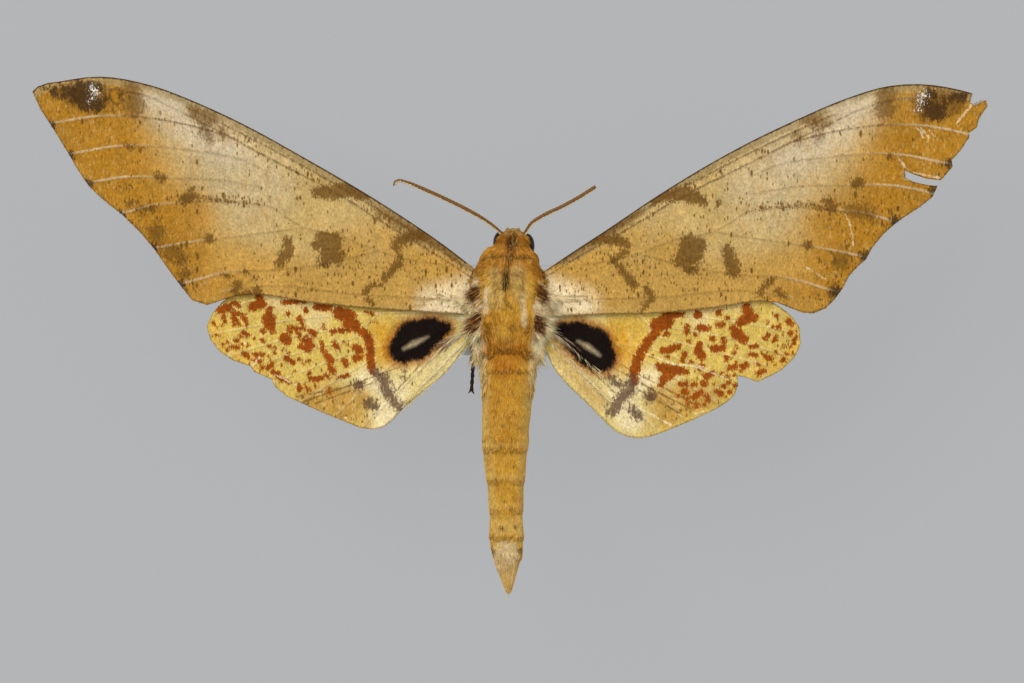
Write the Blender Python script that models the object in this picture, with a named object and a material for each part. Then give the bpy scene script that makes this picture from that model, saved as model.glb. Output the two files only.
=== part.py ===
"""A set hawkmoth, Platysphinx stigmatica, at life size on a plain display stand.

Sizes are in millimetres until a mesh is made. +Z is up, +Y runs from tail to head and +X to the
moth's right. The origin is on the face that the stand rests on, under the middle of the thorax.
"""

import math

import bmesh
import bpy
from mathutils import Matrix, Vector
from mathutils.geometry import delaunay_2d_cdt

MM = 0.001
GAP = 0.3

BODY_Z = 27.0
BODY_SIDES = 20

WING_THICK = 0.5
WING_ROOT_X = 4.0
WING_RISE = 0.07
WING_ARCH = 0.0005
FOREWING_Z = 1.6
HINDWING_DROP = 1.1
VEIN_RISE = 0.2
VEIN_HALF_WIDTH = 0.36
VEIN_END_CLEAR = 0.8
VEIN_STEP = 3.0
OUTLINE_STEP = 1.6
SUPPORT_SPACING = 4.2
SUPPORT_CLEAR = 1.3
SET_ANGLE_RIGHT = math.radians(-1.4)

# Rings of the body: place along Y, middle in X, half width, underside and top from the body's axis.
HEAD_RINGS = [
    (3.2, 0.5, 1.1, -1.0, 1.1),
    (3.5, 0.5, 1.7, -1.7, 1.8),
    (4.3, 0.6, 2.05, -2.2, 2.3),
    (5.1, 0.65, 1.95, -2.1, 2.15),
    (5.7, 0.65, 1.6, -1.7, 1.7),
    (6.1, 0.6, 1.05, -1.1, 1.15),
    (6.3, 0.6, 0.5, -0.5, 0.6),
]
THORAX_RINGS = [
    (4.5, 0.1, 1.5, -1.3, 1.5),
    (4.3, 0.1, 2.3, -1.8, 2.1),
    (3.8, 0.1, 3.0, -2.3, 2.7),
    (2.7, 0.0, 3.5, -3.0, 3.3),
    (1.4, 0.15, 4.0, -3.6, 3.9),
    (0.0, 0.1, 4.15, -3.8, 4.2),
    (-2.5, 0.05, 4.15, -3.9, 4.3),
    (-4.5, 0.05, 4.0, -3.8, 4.1),
    (-6.3, 0.0, 3.85, -3.6, 3.8),
    (-7.6, 0.0, 3.75, -3.4, 3.6),
    (-8.3, 0.0, 3.6, -3.2, 3.4),
]
ABDOMEN_RINGS = [
    (-7.3, 0.0, 1.9, -1.8, 1.8),
    (-7.9, 0.0, 2.7, -2.4, 2.5),
    (-9.0, 0.0, 3.4, -3.0, 3.15),
    (-11.3, -0.07, 3.45, -3.2, 3.2),
    (-16.7, -0.34, 3.08, -3.1, 2.8),
    (-20.3, -0.37, 2.78, -3.0, 2.4),
    (-24.1, -0.29, 2.3, -2.7, 1.8),
    (-27.7, -0.23, 2.05, -2.5, 1.4),
    (-31.8, -0.17, 2.1, -2.5, 1.3),
    (-33.0, -0.05, 1.95, -2.4, 1.1),
    (-34.3, -0.2, 1.45, -2.0, 0.7),
    (-35.4, -0.22, 0.95, -1.5, 0.3),
]
SEGMENT_ENDS = [-10.6, -13.4, -16.7, -20.2, -24.1, -27.7, -30.8]
SEGMENT_LIP = 0.16
SEGMENT_GROOVE = 0.25

# Eyes: an ellipsoid in each side of the head.
EYE_SIZE = Vector((0.9, 1.5, 1.65))
EYE_MIDDLE = {"left": Vector((-0.9, 4.55, -0.25)), "right": Vector((2.3, 4.25, -0.25))}

# Feelers: the left one ends in its hook and the right one has lost it.
FEELER_RADIUS = 0.27
FEELER_PATHS = {
    "left": [
        (-0.3, 5.3, 1.0), (-1.2, 6.2, 1.6), (-2.6, 7.25, 1.9), (-4.4, 8.3, 2.1), (-7.4, 9.8, 2.3),
        (-10.4, 11.15, 2.4), (-12.2, 11.9, 2.4), (-13.15, 12.1, 2.3), (-13.6, 11.9, 2.2),
        (-13.7, 11.4, 2.1),
    ],
    "right": [
        (1.6, 5.2, 1.0), (2.15, 6.05, 1.6), (2.7, 6.85, 1.8), (4.1, 7.8, 2.0), (6.5, 8.95, 2.2),
        (8.5, 10.05, 2.3), (10.5, 11.3, 2.3),
    ],
}

PALP_OFFSET = 0.62
PALP_RADIUS = 0.5
PALP_PATH = [(4.5, -2.3), (5.4, -2.75), (6.05, -2.2), (6.25, -1.3), (6.15, -0.4)]
TONGUE_RADIUS = 0.25
TONGUE_MIDDLE = Vector((0.6, 4.9, -3.5))

# Shoulder flaps over the roots of the forewings.
TEGULA_SIZE = Vector((1.5, 3.6, 0.95))
TEGULA_MIDDLE = Vector((3.0, -0.8, 2.55))
TEGULA_LEAN = math.radians(48)

# Outlines of the wings, in smooth runs that meet at corners.
FOREWING_LEFT = [
    [
        (-2.6, 0.4), (-3.9, 1.4), (-7.4, 4.1), (-14.5, 8.9), (-25.0, 15.1), (-30.6, 18.2),
        (-36.7, 21.1), (-42.8, 23.4), (-48.8, 24.4), (-53.6, 23.8), (-56.2, 23.2), (-56.8, 22.6),
    ],
    [(-56.8, 22.6), (-56.0, 20.8), (-54.6, 18.6), (-52.5, 15.2)],
    [(-52.5, 15.2), (-51.3, 13.1), (-50.2, 11.5), (-48.5, 9.8), (-46.2, 8.0)],
    [(-46.2, 8.0), (-43.7, 5.5), (-42.2, 3.7), (-40.7, 1.5), (-39.2, -0.5)],
    [
        (-39.2, -0.5), (-37.8, -2.3), (-36.0, -2.9), (-34.5, -2.4), (-32.5, -1.8), (-28.8, -1.7),
        (-24.7, -2.4), (-19.5, -3.0), (-12.6, -3.5), (-6.7, -3.9), (-2.6, -4.1),
    ],
    [(-2.6, -4.1), (-2.6, 0.4)],
]
FOREWING_RIGHT = [
    [
        (2.6, 0.0), (4.4, 1.2), (6.6, 2.7), (12.1, 6.3), (17.6, 10.0), (23.1, 13.4), (29.3, 16.8),
        (34.8, 19.4), (40.2, 21.7), (45.7, 23.3), (49.2, 23.5), (54.0, 22.8), (55.5, 22.4),
    ],
    [(55.5, 22.4), (55.2, 21.3), (55.8, 20.9)],
    [(55.8, 20.9), (57.1, 21.6)],
    [(57.1, 21.6), (57.3, 20.9), (56.3, 19.4), (56.0, 18.3), (55.1, 17.7)],
    [(55.1, 17.7), (55.1, 17.1), (54.0, 15.5), (53.0, 14.4)],
    [(53.0, 14.4), (53.1, 13.6), (51.7, 12.0)],
    [(51.7, 12.0), (50.0, 12.2), (48.5, 12.7), (47.4, 13.2)],
    [(47.4, 13.2), (47.5, 12.3), (48.5, 11.8), (51.3, 11.3)],
    [(51.3, 11.3), (50.7, 10.0), (49.2, 8.8), (46.9, 7.3), (44.8, 5.5), (43.5, 3.9), (42.8, 2.6)],
    [(42.8, 2.6), (40.8, 0.6), (40.0, -0.9)],
    [
        (40.0, -0.9), (38.0, -3.3), (36.5, -3.9), (35.3, -3.8), (32.2, -2.6), (30.2, -2.4),
        (26.1, -3.0), (18.5, -3.8), (10.0, -4.0), (6.2, -4.2), (2.6, -4.4),
    ],
    [(2.6, -4.4), (2.6, 0.0)],
]
HINDWING_LEFT = [
    [
        (-2.6, -2.6), (-12.0, -0.6), (-20.0, 0.2), (-28.0, -0.2), (-33.0, -1.6), (-35.4, -3.8),
        (-36.1, -5.4), (-35.7, -7.0), (-33.0, -9.5), (-30.9, -10.2),
    ],
    [(-30.9, -10.2), (-30.4, -10.9), (-28.3, -11.8)],
    [(-28.3, -11.8), (-28.0, -12.6), (-24.6, -14.7), (-19.5, -16.9)],
    [
        (-19.5, -16.9), (-17.8, -17.6), (-16.2, -17.8), (-14.9, -17.5), (-12.8, -15.5),
        (-9.7, -12.8), (-7.4, -10.9), (-5.4, -8.3), (-4.6, -7.3), (-2.6, -6.8),
    ],
    [(-2.6, -6.8), (-2.6, -2.6)],
]
HINDWING_RIGHT = [
    [
        (2.6, -2.6), (12.0, -0.8), (20.0, -0.2), (27.0, -0.9), (31.0, -2.2), (33.3, -3.6),
        (34.9, -5.5), (35.1, -7.5), (34.4, -9.1), (32.9, -10.6), (29.9, -12.1),
    ],
    [(29.9, -12.1), (28.3, -11.5), (27.5, -11.4)],
    [(27.5, -11.4), (27.6, -12.5), (27.2, -13.6), (26.3, -14.5), (23.6, -16.0), (19.0, -18.0)],
    [
        (19.0, -18.0), (17.3, -18.6), (15.6, -18.9), (13.0, -18.1), (11.1, -16.3), (9.1, -14.3),
        (6.8, -12.1), (5.3, -10.1), (4.5, -8.4), (2.6, -7.2),
    ],
    [(2.6, -7.2), (2.6, -2.6)],
]

# Veins of the left wings, from the root out. The right wings take them mirrored.
FOREWING_VEINS = {
    "subcosta": [(-3.5, 0.6), (-14.5, 7.9), (-25.0, 14.0), (-32.0, 17.7), (-38.5, 20.8)],
    "radius": [
        (-3.5, -0.2), (-8.0, 2.8), (-14.5, 6.7), (-19.7, 10.0), (-28.0, 14.4), (-37.4, 19.3),
        (-43.8, 22.3), (-50.5, 23.2),
    ],
    "radial_branch": [(-34.0, 17.5), (-38.5, 18.7), (-44.0, 19.6), (-50.0, 19.6), (-54.2, 18.8)],
    "medial_1": [(-28.9, 13.2), (-31.4, 14.4), (-38.3, 15.7), (-45.7, 16.2), (-52.2, 15.2)],
    "medial_2": [(-29.1, 11.1), (-33.6, 12.0), (-39.8, 12.3), (-46.2, 12.4), (-50.2, 11.7)],
    "medial_3": [(-28.3, 8.9), (-33.8, 9.6), (-38.6, 9.4), (-42.3, 9.1), (-46.0, 8.1)],
    "cubital_1": [(-24.5, 6.4), (-32.0, 5.4), (-37.0, 4.8), (-42.0, 3.9)],
    "cubital_2": [(-15.5, 3.6), (-22.8, 1.9), (-29.0, 1.3), (-33.2, 1.1), (-39.0, -0.4)],
    "anal": [(-3.5, -2.0), (-12.0, -1.9), (-20.0, -1.4), (-28.0, -0.5), (-34.0, -1.2)],
    "cubitus": [(-6.5, 1.8), (-11.9, 2.6), (-15.5, 3.6), (-20.0, 5.4), (-24.5, 6.4), (-28.3, 8.9)],
    "cell_end": [(-28.3, 8.9), (-29.1, 11.1), (-28.9, 13.2), (-28.0, 14.4)],
}
HINDWING_VEINS = {
    "subcosta": [(-3.5, -3.2), (-12.0, -1.8), (-20.0, -1.2), (-28.0, -1.6), (-34.6, -3.8)],
    "radial_sector": [(-3.5, -4.0), (-10.0, -3.7), (-15.5, -3.8), (-24.0, -4.4), (-35.4, -6.3)],
    "medial_1": [(-17.0, -5.2), (-25.0, -6.5), (-33.4, -8.9)],
    "medial_2": [(-17.0, -6.4), (-24.0, -8.3), (-31.0, -10.0)],
    "medial_3": [(-16.5, -7.8), (-23.0, -10.2), (-28.4, -12.2)],
    "cubital_1": [(-13.0, -7.6), (-19.0, -10.9), (-24.8, -14.3)],
    "cubital_2": [(-9.0, -6.4), (-15.0, -10.8), (-20.6, -16.0)],
    "anal_1": [(-3.5, -4.9), (-6.5, -6.8), (-11.0, -11.0), (-17.4, -17.2)],
    "anal_2": [(-5.0, -7.0), (-8.5, -10.6), (-14.4, -16.4)],
    "cubitus": [(-3.5, -4.4), (-9.0, -6.4), (-13.0, -7.6), (-16.5, -7.8)],
    "cell_end": [(-16.5, -7.8), (-17.0, -6.4), (-17.0, -5.2), (-15.5, -3.8)],
}

# Joints of each leg from the hip inside the thorax to the tip of the foot.
LEG_RADII = (0.62, 0.52, 0.4)
LEG_SIDES = 7
FOOT_RADIUS = 0.28
FOOT_LINKS = 5
LEG_JOINTS = {
    "foreleg_right": [
        (1.5, 2.0, -2.4), (1.3, 2.9, -5.2), (3.0, -1.0, -7.5), (1.9, 2.7, -8.6), (1.1, 5.4, -7.9),
    ],
    "foreleg_left": [
        (-1.4, 2.0, -2.4), (-1.2, 2.9, -5.2), (-2.9, -1.2, -7.4), (-1.6, 2.5, -8.7),
        (-0.6, 5.2, -8.2),
    ],
    "midleg_right": [
        (1.9, -1.6, -2.6), (2.0, -2.1, -5.2), (5.0, 0.3, -7.9), (3.4, -5.0, -9.4),
        (2.4, -10.4, -8.8),
    ],
    "midleg_left": [
        (-1.9, -1.6, -2.6), (-2.0, -2.1, -5.2), (-5.0, 0.0, -7.6), (-3.6, -5.2, -9.2),
        (-2.3, -10.2, -9.0),
    ],
    "hindleg_right": [
        (1.6, -5.0, -2.4), (1.8, -5.5, -4.7), (4.3, -3.2, -6.6), (2.9, -9.2, -6.6),
        (1.6, -14.8, -6.0),
    ],
    "hindleg_left": [
        (-1.6, -5.0, -2.4), (-1.8, -5.5, -4.7), (-4.7, -3.2, -6.0), (-4.2, -9.1, -5.2),
        (-4.45, -13.3, -4.4),
    ],
}
SPUR_LENGTH = 1.3
SPUR_WIDTH = 0.22
SPUR_PLACES = {"foreleg": (), "midleg": (0.94,), "hindleg": (0.62, 0.94)}
CLAW_LENGTH = 0.6
CLAW_WIDTH = 0.16

# Locks of long hair: half widths, and for the thorax's sides the place along Y, the height on the
# side, and how far each reaches out and back.
LOCK_SIDES = 4
LOCK_THICK = 0.26
LOCK_WIDTH = 0.55
LOCK_ROOT_DEPTH = 0.6
HAIR_CLEAR_OF_HINDWING = 1.35
SIDE_FANS = [
    (-4.3, 2.0, 2.6, 1.3), (-4.9, 1.5, 2.9, 1.9), (-5.5, 1.35, 2.6, 2.5), (-6.1, 1.3, 2.1, 3.0),
    (-6.7, 1.5, 1.3, 3.4),
]
TEGULA_LOCKS = [
    ((2.9, -2.6, 3.4), (3.2, -6.4, 3.3)),
    ((3.4, -2.4, 3.0), (4.1, -5.9, 2.75)),
    ((3.7, -1.9, 2.6), (5.0, -4.6, 2.5)),
    ((3.9, -1.1, 2.35), (5.7, -3.2, 2.4)),
]
TAIL_LOCKS = 7
TAIL_TIP = (0.15, -37.9, -0.9)

STAND_LENGTH = 56.0
STAND_WIDTH = 11.6
STAND_HEIGHT = 5.0
STAND_BACK = 3.3
STAND_EDGE = 0.8
STAND_SIDES = 48
ROD_RADIUS = 0.8
ROD_SIDES = 16
ROD_OVERSHOOT = 1.0

# Finish of each object whose name starts with the word: colour, roughness and metallic value.
FINISHES = {
    "head": ((0.47, 0.26, 0.06), 0.85, 0.0),
    "thorax": ((0.47, 0.26, 0.06), 0.85, 0.0),
    "tegula": ((0.62, 0.42, 0.17), 0.85, 0.0),
    "abdomen": ((0.5, 0.28, 0.07), 0.85, 0.0),
    "tail": ((0.6, 0.42, 0.2), 0.85, 0.0),
    "palp": ((0.42, 0.22, 0.06), 0.85, 0.0),
    "forewing": ((0.52, 0.35, 0.13), 0.7, 0.0),
    "hindwing": ((0.66, 0.42, 0.10), 0.7, 0.0),
    "antenna": ((0.22, 0.09, 0.02), 0.6, 0.0),
    "proboscis": ((0.16, 0.06, 0.02), 0.45, 0.0),
    "eye": ((0.02, 0.016, 0.012), 0.25, 0.0),
    "foreleg": ((0.05, 0.03, 0.018), 0.5, 0.0),
    "midleg": ((0.05, 0.03, 0.018), 0.5, 0.0),
    "hindleg": ((0.05, 0.03, 0.018), 0.5, 0.0),
    "stand_base": ((0.44, 0.45, 0.46), 0.55, 0.0),
    "stand_rod": ((0.6, 0.6, 0.62), 0.3, 1.0),
}


def finish(made):
    """Gives an object a material of its own from the finishes."""
    colour, roughness, metallic = next(FINISHES[word] for word in FINISHES if made.name.startswith(word))
    coat = bpy.data.materials.new(made.name)
    coat.use_nodes = True
    shader = coat.node_tree.nodes["Principled BSDF"]
    shader.inputs["Base Color"].default_value = (*colour, 1.0)
    shader.inputs["Roughness"].default_value = roughness
    shader.inputs["Metallic"].default_value = metallic
    made.data.materials.clear()
    made.data.materials.append(coat)


def smooth_curve(points, step):
    """Points about a step apart on one smooth curve through the given ones, both ends included."""
    points = [Vector(point) for point in points]
    spans = [(b - a).length for a, b in zip(points, points[1:])]
    chords = [(b - a) / span for a, b, span in zip(points, points[1:], spans)]
    slopes = [chords[0]]
    for i in range(1, len(chords)):
        mixed = chords[i - 1] * spans[i] + chords[i] * spans[i - 1]
        slopes.append(mixed / (spans[i - 1] + spans[i]))
    slopes.append(chords[-1])
    curve = []
    for i, span in enumerate(spans):
        count = max(1, round(span / step))
        for k in range(count):
            t = k / count
            start = points[i] * (2 * t**3 - 3 * t**2 + 1)
            leave = slopes[i] * span * (t**3 - 2 * t**2 + t)
            end = points[i + 1] * (3 * t**2 - 2 * t**3)
            arrive = slopes[i + 1] * span * (t**3 - t**2)
            curve.append(start + leave + end + arrive)
    return curve + [points[-1]]


def closed_outline(runs, step):
    """One closed line round smooth runs that meet at corners."""
    line = []
    for run in runs:
        line += smooth_curve(run, step)[:-1]
    return line


def make_object(name, bm, smooth_angle=40):
    """A named object from a mesh in millimetres measured from the origin."""
    bmesh.ops.scale(bm, vec=(MM, MM, MM), verts=bm.verts)
    bmesh.ops.recalc_face_normals(bm, faces=bm.faces)
    mesh = bpy.data.meshes.new(name)
    bm.to_mesh(mesh)
    bm.free()
    mesh.shade_smooth()
    mesh.set_sharp_from_angle(angle=math.radians(smooth_angle))
    made = bpy.data.objects.new(name, mesh)
    bpy.context.scene.collection.objects.link(made)
    return made


def ringed_body(name, rings, sides, place):
    """A closed body from a sphere whose rings are put by place(ring, angle). The ends are poles."""
    bm = bmesh.new()
    bmesh.ops.create_uvsphere(bm, u_segments=sides, v_segments=rings, radius=1.0)
    for vert in bm.verts:
        ring = round(math.acos(max(-1.0, min(1.0, vert.co.z))) / math.pi * rings)
        vert.co = place(ring, math.atan2(vert.co.y, vert.co.x))
    return make_object(name, bm)


def tube(name, path, widths, sides=LEG_SIDES, thicknesses=None, up=(0, 0, 1)):
    """A closed tapered tube along a path. It is flat where the thicknesses differ from the widths."""
    thicknesses = thicknesses or widths
    frames = []
    for i in range(len(path)):
        along = (path[min(i + 1, len(path) - 1)] - path[max(i - 1, 0)]).normalized()
        side = along.cross(Vector(up)).normalized()
        frames.append((side, side.cross(along)))

    def place(ring, angle):
        if ring in (0, len(path) - 1):
            return path[ring]
        side, top = frames[ring]
        across = side * widths[ring] * math.cos(angle)
        return path[ring] + across + top * thicknesses[ring] * math.sin(angle)

    return ringed_body(name, len(path) - 1, sides, place)


def apply_boolean(made, operation, others, solver="EXACT"):
    """Joins or cuts an object by a collection of closed ones, which are then removed."""
    group = bpy.data.collections.new(made.name + "_pieces")
    bpy.context.scene.collection.children.link(group)
    for other in others:
        group.objects.link(other)
    modifier = made.modifiers.new(operation.lower(), "BOOLEAN")
    modifier.operation = operation
    modifier.operand_type = "COLLECTION"
    modifier.collection = group
    modifier.solver = solver
    graph = bpy.context.evaluated_depsgraph_get()
    result = bpy.data.meshes.new_from_object(made.evaluated_get(graph))
    made.modifiers.clear()
    made.data = result
    for other in others:
        bpy.data.objects.remove(other)
    bpy.data.collections.remove(group)
    keep_largest_shell(made)
    return made


def keep_largest_shell(made):
    """Leaves only the closed surface that holds the most."""
    bm = bmesh.new()
    bm.from_mesh(made.data)
    bmesh.ops.triangulate(bm, faces=bm.faces)
    left = set(bm.faces)
    shells = []
    while left:
        shell = set()
        edge_of_shell = [left.pop()]
        while edge_of_shell:
            face = edge_of_shell.pop()
            shell.add(face)
            for edge in face.edges:
                near = [other for other in edge.link_faces if other in left]
                left.difference_update(near)
                edge_of_shell += near
        shells.append(shell)

    def held(shell):
        corners = ([vert.co for vert in face.verts] for face in shell)
        return abs(sum(a.cross(b).dot(c) for a, b, c in corners))

    kept = max(shells, key=held)
    bmesh.ops.delete(bm, geom=[face for face in bm.faces if face not in kept], context="FACES")
    bm.to_mesh(made.data)
    bm.free()


def ring_at(rings, y):
    """Middle, half width, underside and top of a body at a place along it."""
    ordered = sorted(rings)
    y = max(ordered[0][0], min(ordered[-1][0], y))
    for low, high in zip(ordered, ordered[1:]):
        if y <= high[0]:
            t = (y - low[0]) / (high[0] - low[0])
            return [a + (b - a) * t for a, b in zip(low[1:], high[1:])]
    return list(ordered[-1][1:])


def body_point(rings, y, angle, grow=0.0):
    """A point of a body's surface, with the angle counted from +X towards the top."""
    middle, half, low, high = ring_at(rings, y)
    reach = (high if math.sin(angle) > 0 else -low) + grow
    x = middle + (half + grow) * math.cos(angle)
    return Vector((x, y, BODY_Z + reach * math.sin(angle)))


def body_part(name, rings, stops=None, lip=None, grow=0.0):
    """A closed part of the body. grow makes it larger all round, for a cutter."""
    first, last = rings[0][0], rings[-1][0]
    direction = 1 if last > first else -1
    stops = stops or [ring[0] for ring in rings]
    ends = [first - direction * grow, last + direction * grow]

    def place(ring, angle):
        if ring in (0, len(stops) + 1):
            y = ends[0] if ring == 0 else ends[1]
            middle, _, low, high = ring_at(rings, y)
            return Vector((middle, y, BODY_Z + (low + high) / 2))
        y = stops[ring - 1]
        point = body_point(rings, y, angle, grow + (lip(y) if lip else 0.0))
        point.y += {1: -direction * grow, len(stops): direction * grow}.get(ring, 0.0)
        return point

    return ringed_body(name, len(stops) + 1, BODY_SIDES, place)


def ellipsoid(name, middle, size, turn=None, grow=0.0, sides=16, rings=10):
    """An ellipsoid, turned about its middle."""
    turn = turn or Matrix.Identity(3)

    def place(ring, angle):
        lean = math.pi * ring / rings
        reach = size + Vector((grow, grow, grow))
        around = math.sin(lean)
        level = Vector((around * math.cos(angle), math.cos(lean), around * math.sin(angle)))
        return middle + turn @ Vector(a * b for a, b in zip(level, reach))

    return ringed_body(name, rings, sides, place)


def lock(root, tip, sag, up=(0, 0, 1), width=LOCK_WIDTH, thick=LOCK_THICK):
    """A flat tapered lock of hair that bends by sag on its way from root to tip."""
    bend = (root + tip) / 2 + Vector(sag)
    path = smooth_curve([root, bend, tip], (tip - root).length / 4)
    share = [i / (len(path) - 1) for i in range(len(path))]
    widths = [width * (1 - t**2) for t in share]
    thicknesses = [thick * (1 - t**3) for t in share]
    return tube("lock", path, widths, sides=LOCK_SIDES, thicknesses=thicknesses, up=up)


def wing_height(x, y):
    """Height of a forewing's sheet above the body's axis: it rises from the root and arches."""
    out = max(0.0, abs(x) - WING_ROOT_X)
    return WING_RISE * out - WING_ARCH * out**2


def distance_to_line(point, line):
    """Distance from a point to a row of points joined by straight runs."""
    best = math.inf
    for a, b in zip(line, line[1:]):
        run = b - a
        t = max(0.0, min(1.0, (point - a).dot(run) / run.length_squared))
        best = min(best, (point - a - run * t).length)
    return best


def inside_outline(point, outline):
    """Whether a point lies inside a closed outline."""
    inside = False
    for a, b in zip(outline, outline[1:] + outline[:1]):
        crosses = (a.y > point.y) != (b.y > point.y)
        if crosses and point.x < a.x + (b.x - a.x) * (point.y - a.y) / (b.y - a.y):
            inside = not inside
    return inside


def vein_lines(veins, side, turn):
    """The veins of one wing as smooth lines, mirrored and turned about the root for the right side."""
    root = Vector((WING_ROOT_X, 0.0))
    lines = []
    for points in veins.values():
        if side == "right":
            points = [root + Matrix.Rotation(turn, 2) @ (Vector((-x, y)) - root) for x, y in points]
        lines.append(smooth_curve(points, VEIN_STEP))
    return lines


def vein_flanks(lines, outline_loop):
    """Rows of points along both feet of each vein's ridge, left out where another vein is near."""
    rows = []
    for line in lines:
        others = [other for other in lines if other is not line]
        for side in (-1, 1):
            row = []
            for i, point in enumerate(line):
                along = line[min(i + 1, len(line) - 1)] - line[max(i - 1, 0)]
                foot = point + Vector((-along.y, along.x)).normalized() * VEIN_HALF_WIDTH * side
                clear = distance_to_line(foot, outline_loop) > VEIN_HALF_WIDTH
                clear = clear and all(distance_to_line(foot, o) > VEIN_HALF_WIDTH for o in others)
                row.append(foot if clear else None)
            rows.append(row)
    return rows


def wing(name, runs, veins, side, drop, turn):
    """A thin curved sheet whose veins are ridges in its upper face, split alike on both faces."""
    outline = closed_outline(runs, OUTLINE_STEP)
    loop = outline + outline[:1]
    lines = []
    for line in vein_lines(veins, side, turn):
        kept = [p for p in line if inside_outline(p, outline) and distance_to_line(p, loop) > VEIN_END_CLEAR]
        lines.append(kept)
    points = list(outline)
    edges = [(i, (i + 1) % len(outline)) for i in range(len(outline))]
    for row in lines + vein_flanks(lines, loop):
        before = None
        for point in row:
            if point is None:
                before = None
                continue
            points.append(point)
            if before is not None:
                edges.append((before, len(points) - 1))
            before = len(points) - 1
    points += support_points(outline, loop, lines)
    faces = [list(range(len(outline)))]
    flat, _, triangles, *_ = delaunay_2d_cdt(points, edges, faces, 1, 0.02)
    bm = bmesh.new()
    level = BODY_Z + FOREWING_Z - drop
    for point in flat:
        near = min(distance_to_line(point, line) for line in lines)
        ridge = VEIN_RISE * max(0.0, 1 - near / VEIN_HALF_WIDTH)
        bm.verts.new((point.x, point.y, level + wing_height(point.x, point.y) + ridge))
    bm.verts.ensure_lookup_table()
    for triangle in triangles:
        bm.faces.new([bm.verts[i] for i in triangle])
    grown = bmesh.ops.extrude_face_region(bm, geom=bm.faces[:])
    for vert in grown["geom"]:
        if isinstance(vert, bmesh.types.BMVert):
            vert.co.z = level + wing_height(vert.co.x, vert.co.y) - WING_THICK
    return make_object(name, bm, smooth_angle=50)


def support_points(outline, loop, lines):
    """Points that fill the wide fields between the veins, so that the sheet can curve there."""
    xs = [point.x for point in outline]
    ys = [point.y for point in outline]
    found = []
    rows = int((max(ys) - min(ys)) / SUPPORT_SPACING)
    columns = int((max(xs) - min(xs)) / SUPPORT_SPACING)
    for row in range(rows + 1):
        for column in range(columns + 1):
            x = min(xs) + (column + 0.5 * (row % 2)) * SUPPORT_SPACING
            point = Vector((x, min(ys) + row * SUPPORT_SPACING))
            if not inside_outline(point, outline) or distance_to_line(point, loop) < SUPPORT_CLEAR:
                continue
            if min(distance_to_line(point, line) for line in lines) > SUPPORT_CLEAR:
                found.append(point)
    return found


def above_body(point):
    """A point given from the body's axis, as one measured from the floor."""
    return Vector(point) + Vector((0, 0, BODY_Z))


def make_head():
    """The head with a socket for each eye, and the eyes in them."""
    head = body_part("head", HEAD_RINGS)
    sockets = []
    for side, middle in EYE_MIDDLE.items():
        sockets.append(ellipsoid("socket", above_body(middle), EYE_SIZE, grow=GAP))
        ellipsoid("eye_" + side, above_body(middle), EYE_SIZE)
    apply_boolean(head, "DIFFERENCE", sockets)


def head_cutter():
    """The head grown by the gap that its neighbours keep."""
    return body_part("head_cutter", HEAD_RINGS, grow=GAP)


def thorax_cutter():
    """The thorax grown by the gap that its neighbours keep."""
    return body_part("thorax_cutter", THORAX_RINGS, grow=GAP)


def make_feelers():
    """Both feelers, thickest in the middle, cut where they leave the head."""
    for side, points in FEELER_PATHS.items():
        path = smooth_curve([above_body(point) for point in points], 0.75)
        widths = []
        for i in range(len(path)):
            t = i / (len(path) - 1)
            taper = 0.45 + 0.55 * min(1.0, (1 - t) / 0.25) if side == "left" else 0.95
            widths.append(FEELER_RADIUS * taper)
        feeler = tube("antenna_" + side, path, widths, sides=8)
        apply_boolean(feeler, "DIFFERENCE", [head_cutter()])


def make_mouth():
    """A palp on each side of the coiled tongue, under the front of the head."""
    middle = TONGUE_MIDDLE.x
    for side, sign in (("left", -1), ("right", 1)):
        x = middle + sign * PALP_OFFSET
        path = smooth_curve([above_body((x, y, z)) for y, z in PALP_PATH], 0.4)
        last = len(path) - 1
        widths = [PALP_RADIUS * (1 - 0.75 * (i / last) ** 4) for i in range(last + 1)]
        palp = tube("palp_" + side, path, widths, sides=8, up=(1, 0, 0))
        apply_boolean(palp, "DIFFERENCE", [head_cutter()])
    turns, outer, pitch = 1.1, 1.25, 0.82
    steps = 24
    path = []
    for i in range(steps + 1):
        angle = 2 * math.pi * turns * i / steps
        radius = outer - pitch * turns * i / steps
        around = Vector((0, math.sin(angle), math.cos(angle))) * radius
        path.append(above_body(TONGUE_MIDDLE) + around)
    widths = [TONGUE_RADIUS * (1 - 0.3 * i / steps) for i in range(steps + 1)]
    tongue = tube("proboscis", path, widths, sides=6, up=(1, 0, 0))
    apply_boolean(tongue, "DIFFERENCE", [head_cutter()])


def side_locks(sign):
    """Locks on the thorax's side: some fan out over the root of the hindwing, some lie back."""
    locks = []
    for y, level, out, back in SIDE_FANS:
        middle, _, _, high = ring_at(THORAX_RINGS, y)
        surface = body_point(THORAX_RINGS, y, math.asin(level / high))
        x = middle + sign * (surface.x - middle)
        root = Vector((x - sign * LOCK_ROOT_DEPTH, y + 0.3, BODY_Z + level + 0.1))
        tip = Vector((x + sign * out, y - back, BODY_Z + max(level - 0.4, HAIR_CLEAR_OF_HINDWING)))
        locks.append(lock(root, tip, (0, 0, 0.3)))
    for level in (1.0, -0.4):
        root = above_body((sign * 3.1, -6.4, level))
        tip = above_body((sign * 4.0, -11.2, level - 0.2))
        locks.append(lock(root, tip, (sign * 0.75, 0, 0), up=(sign, 0, 0)))
    return locks


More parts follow.
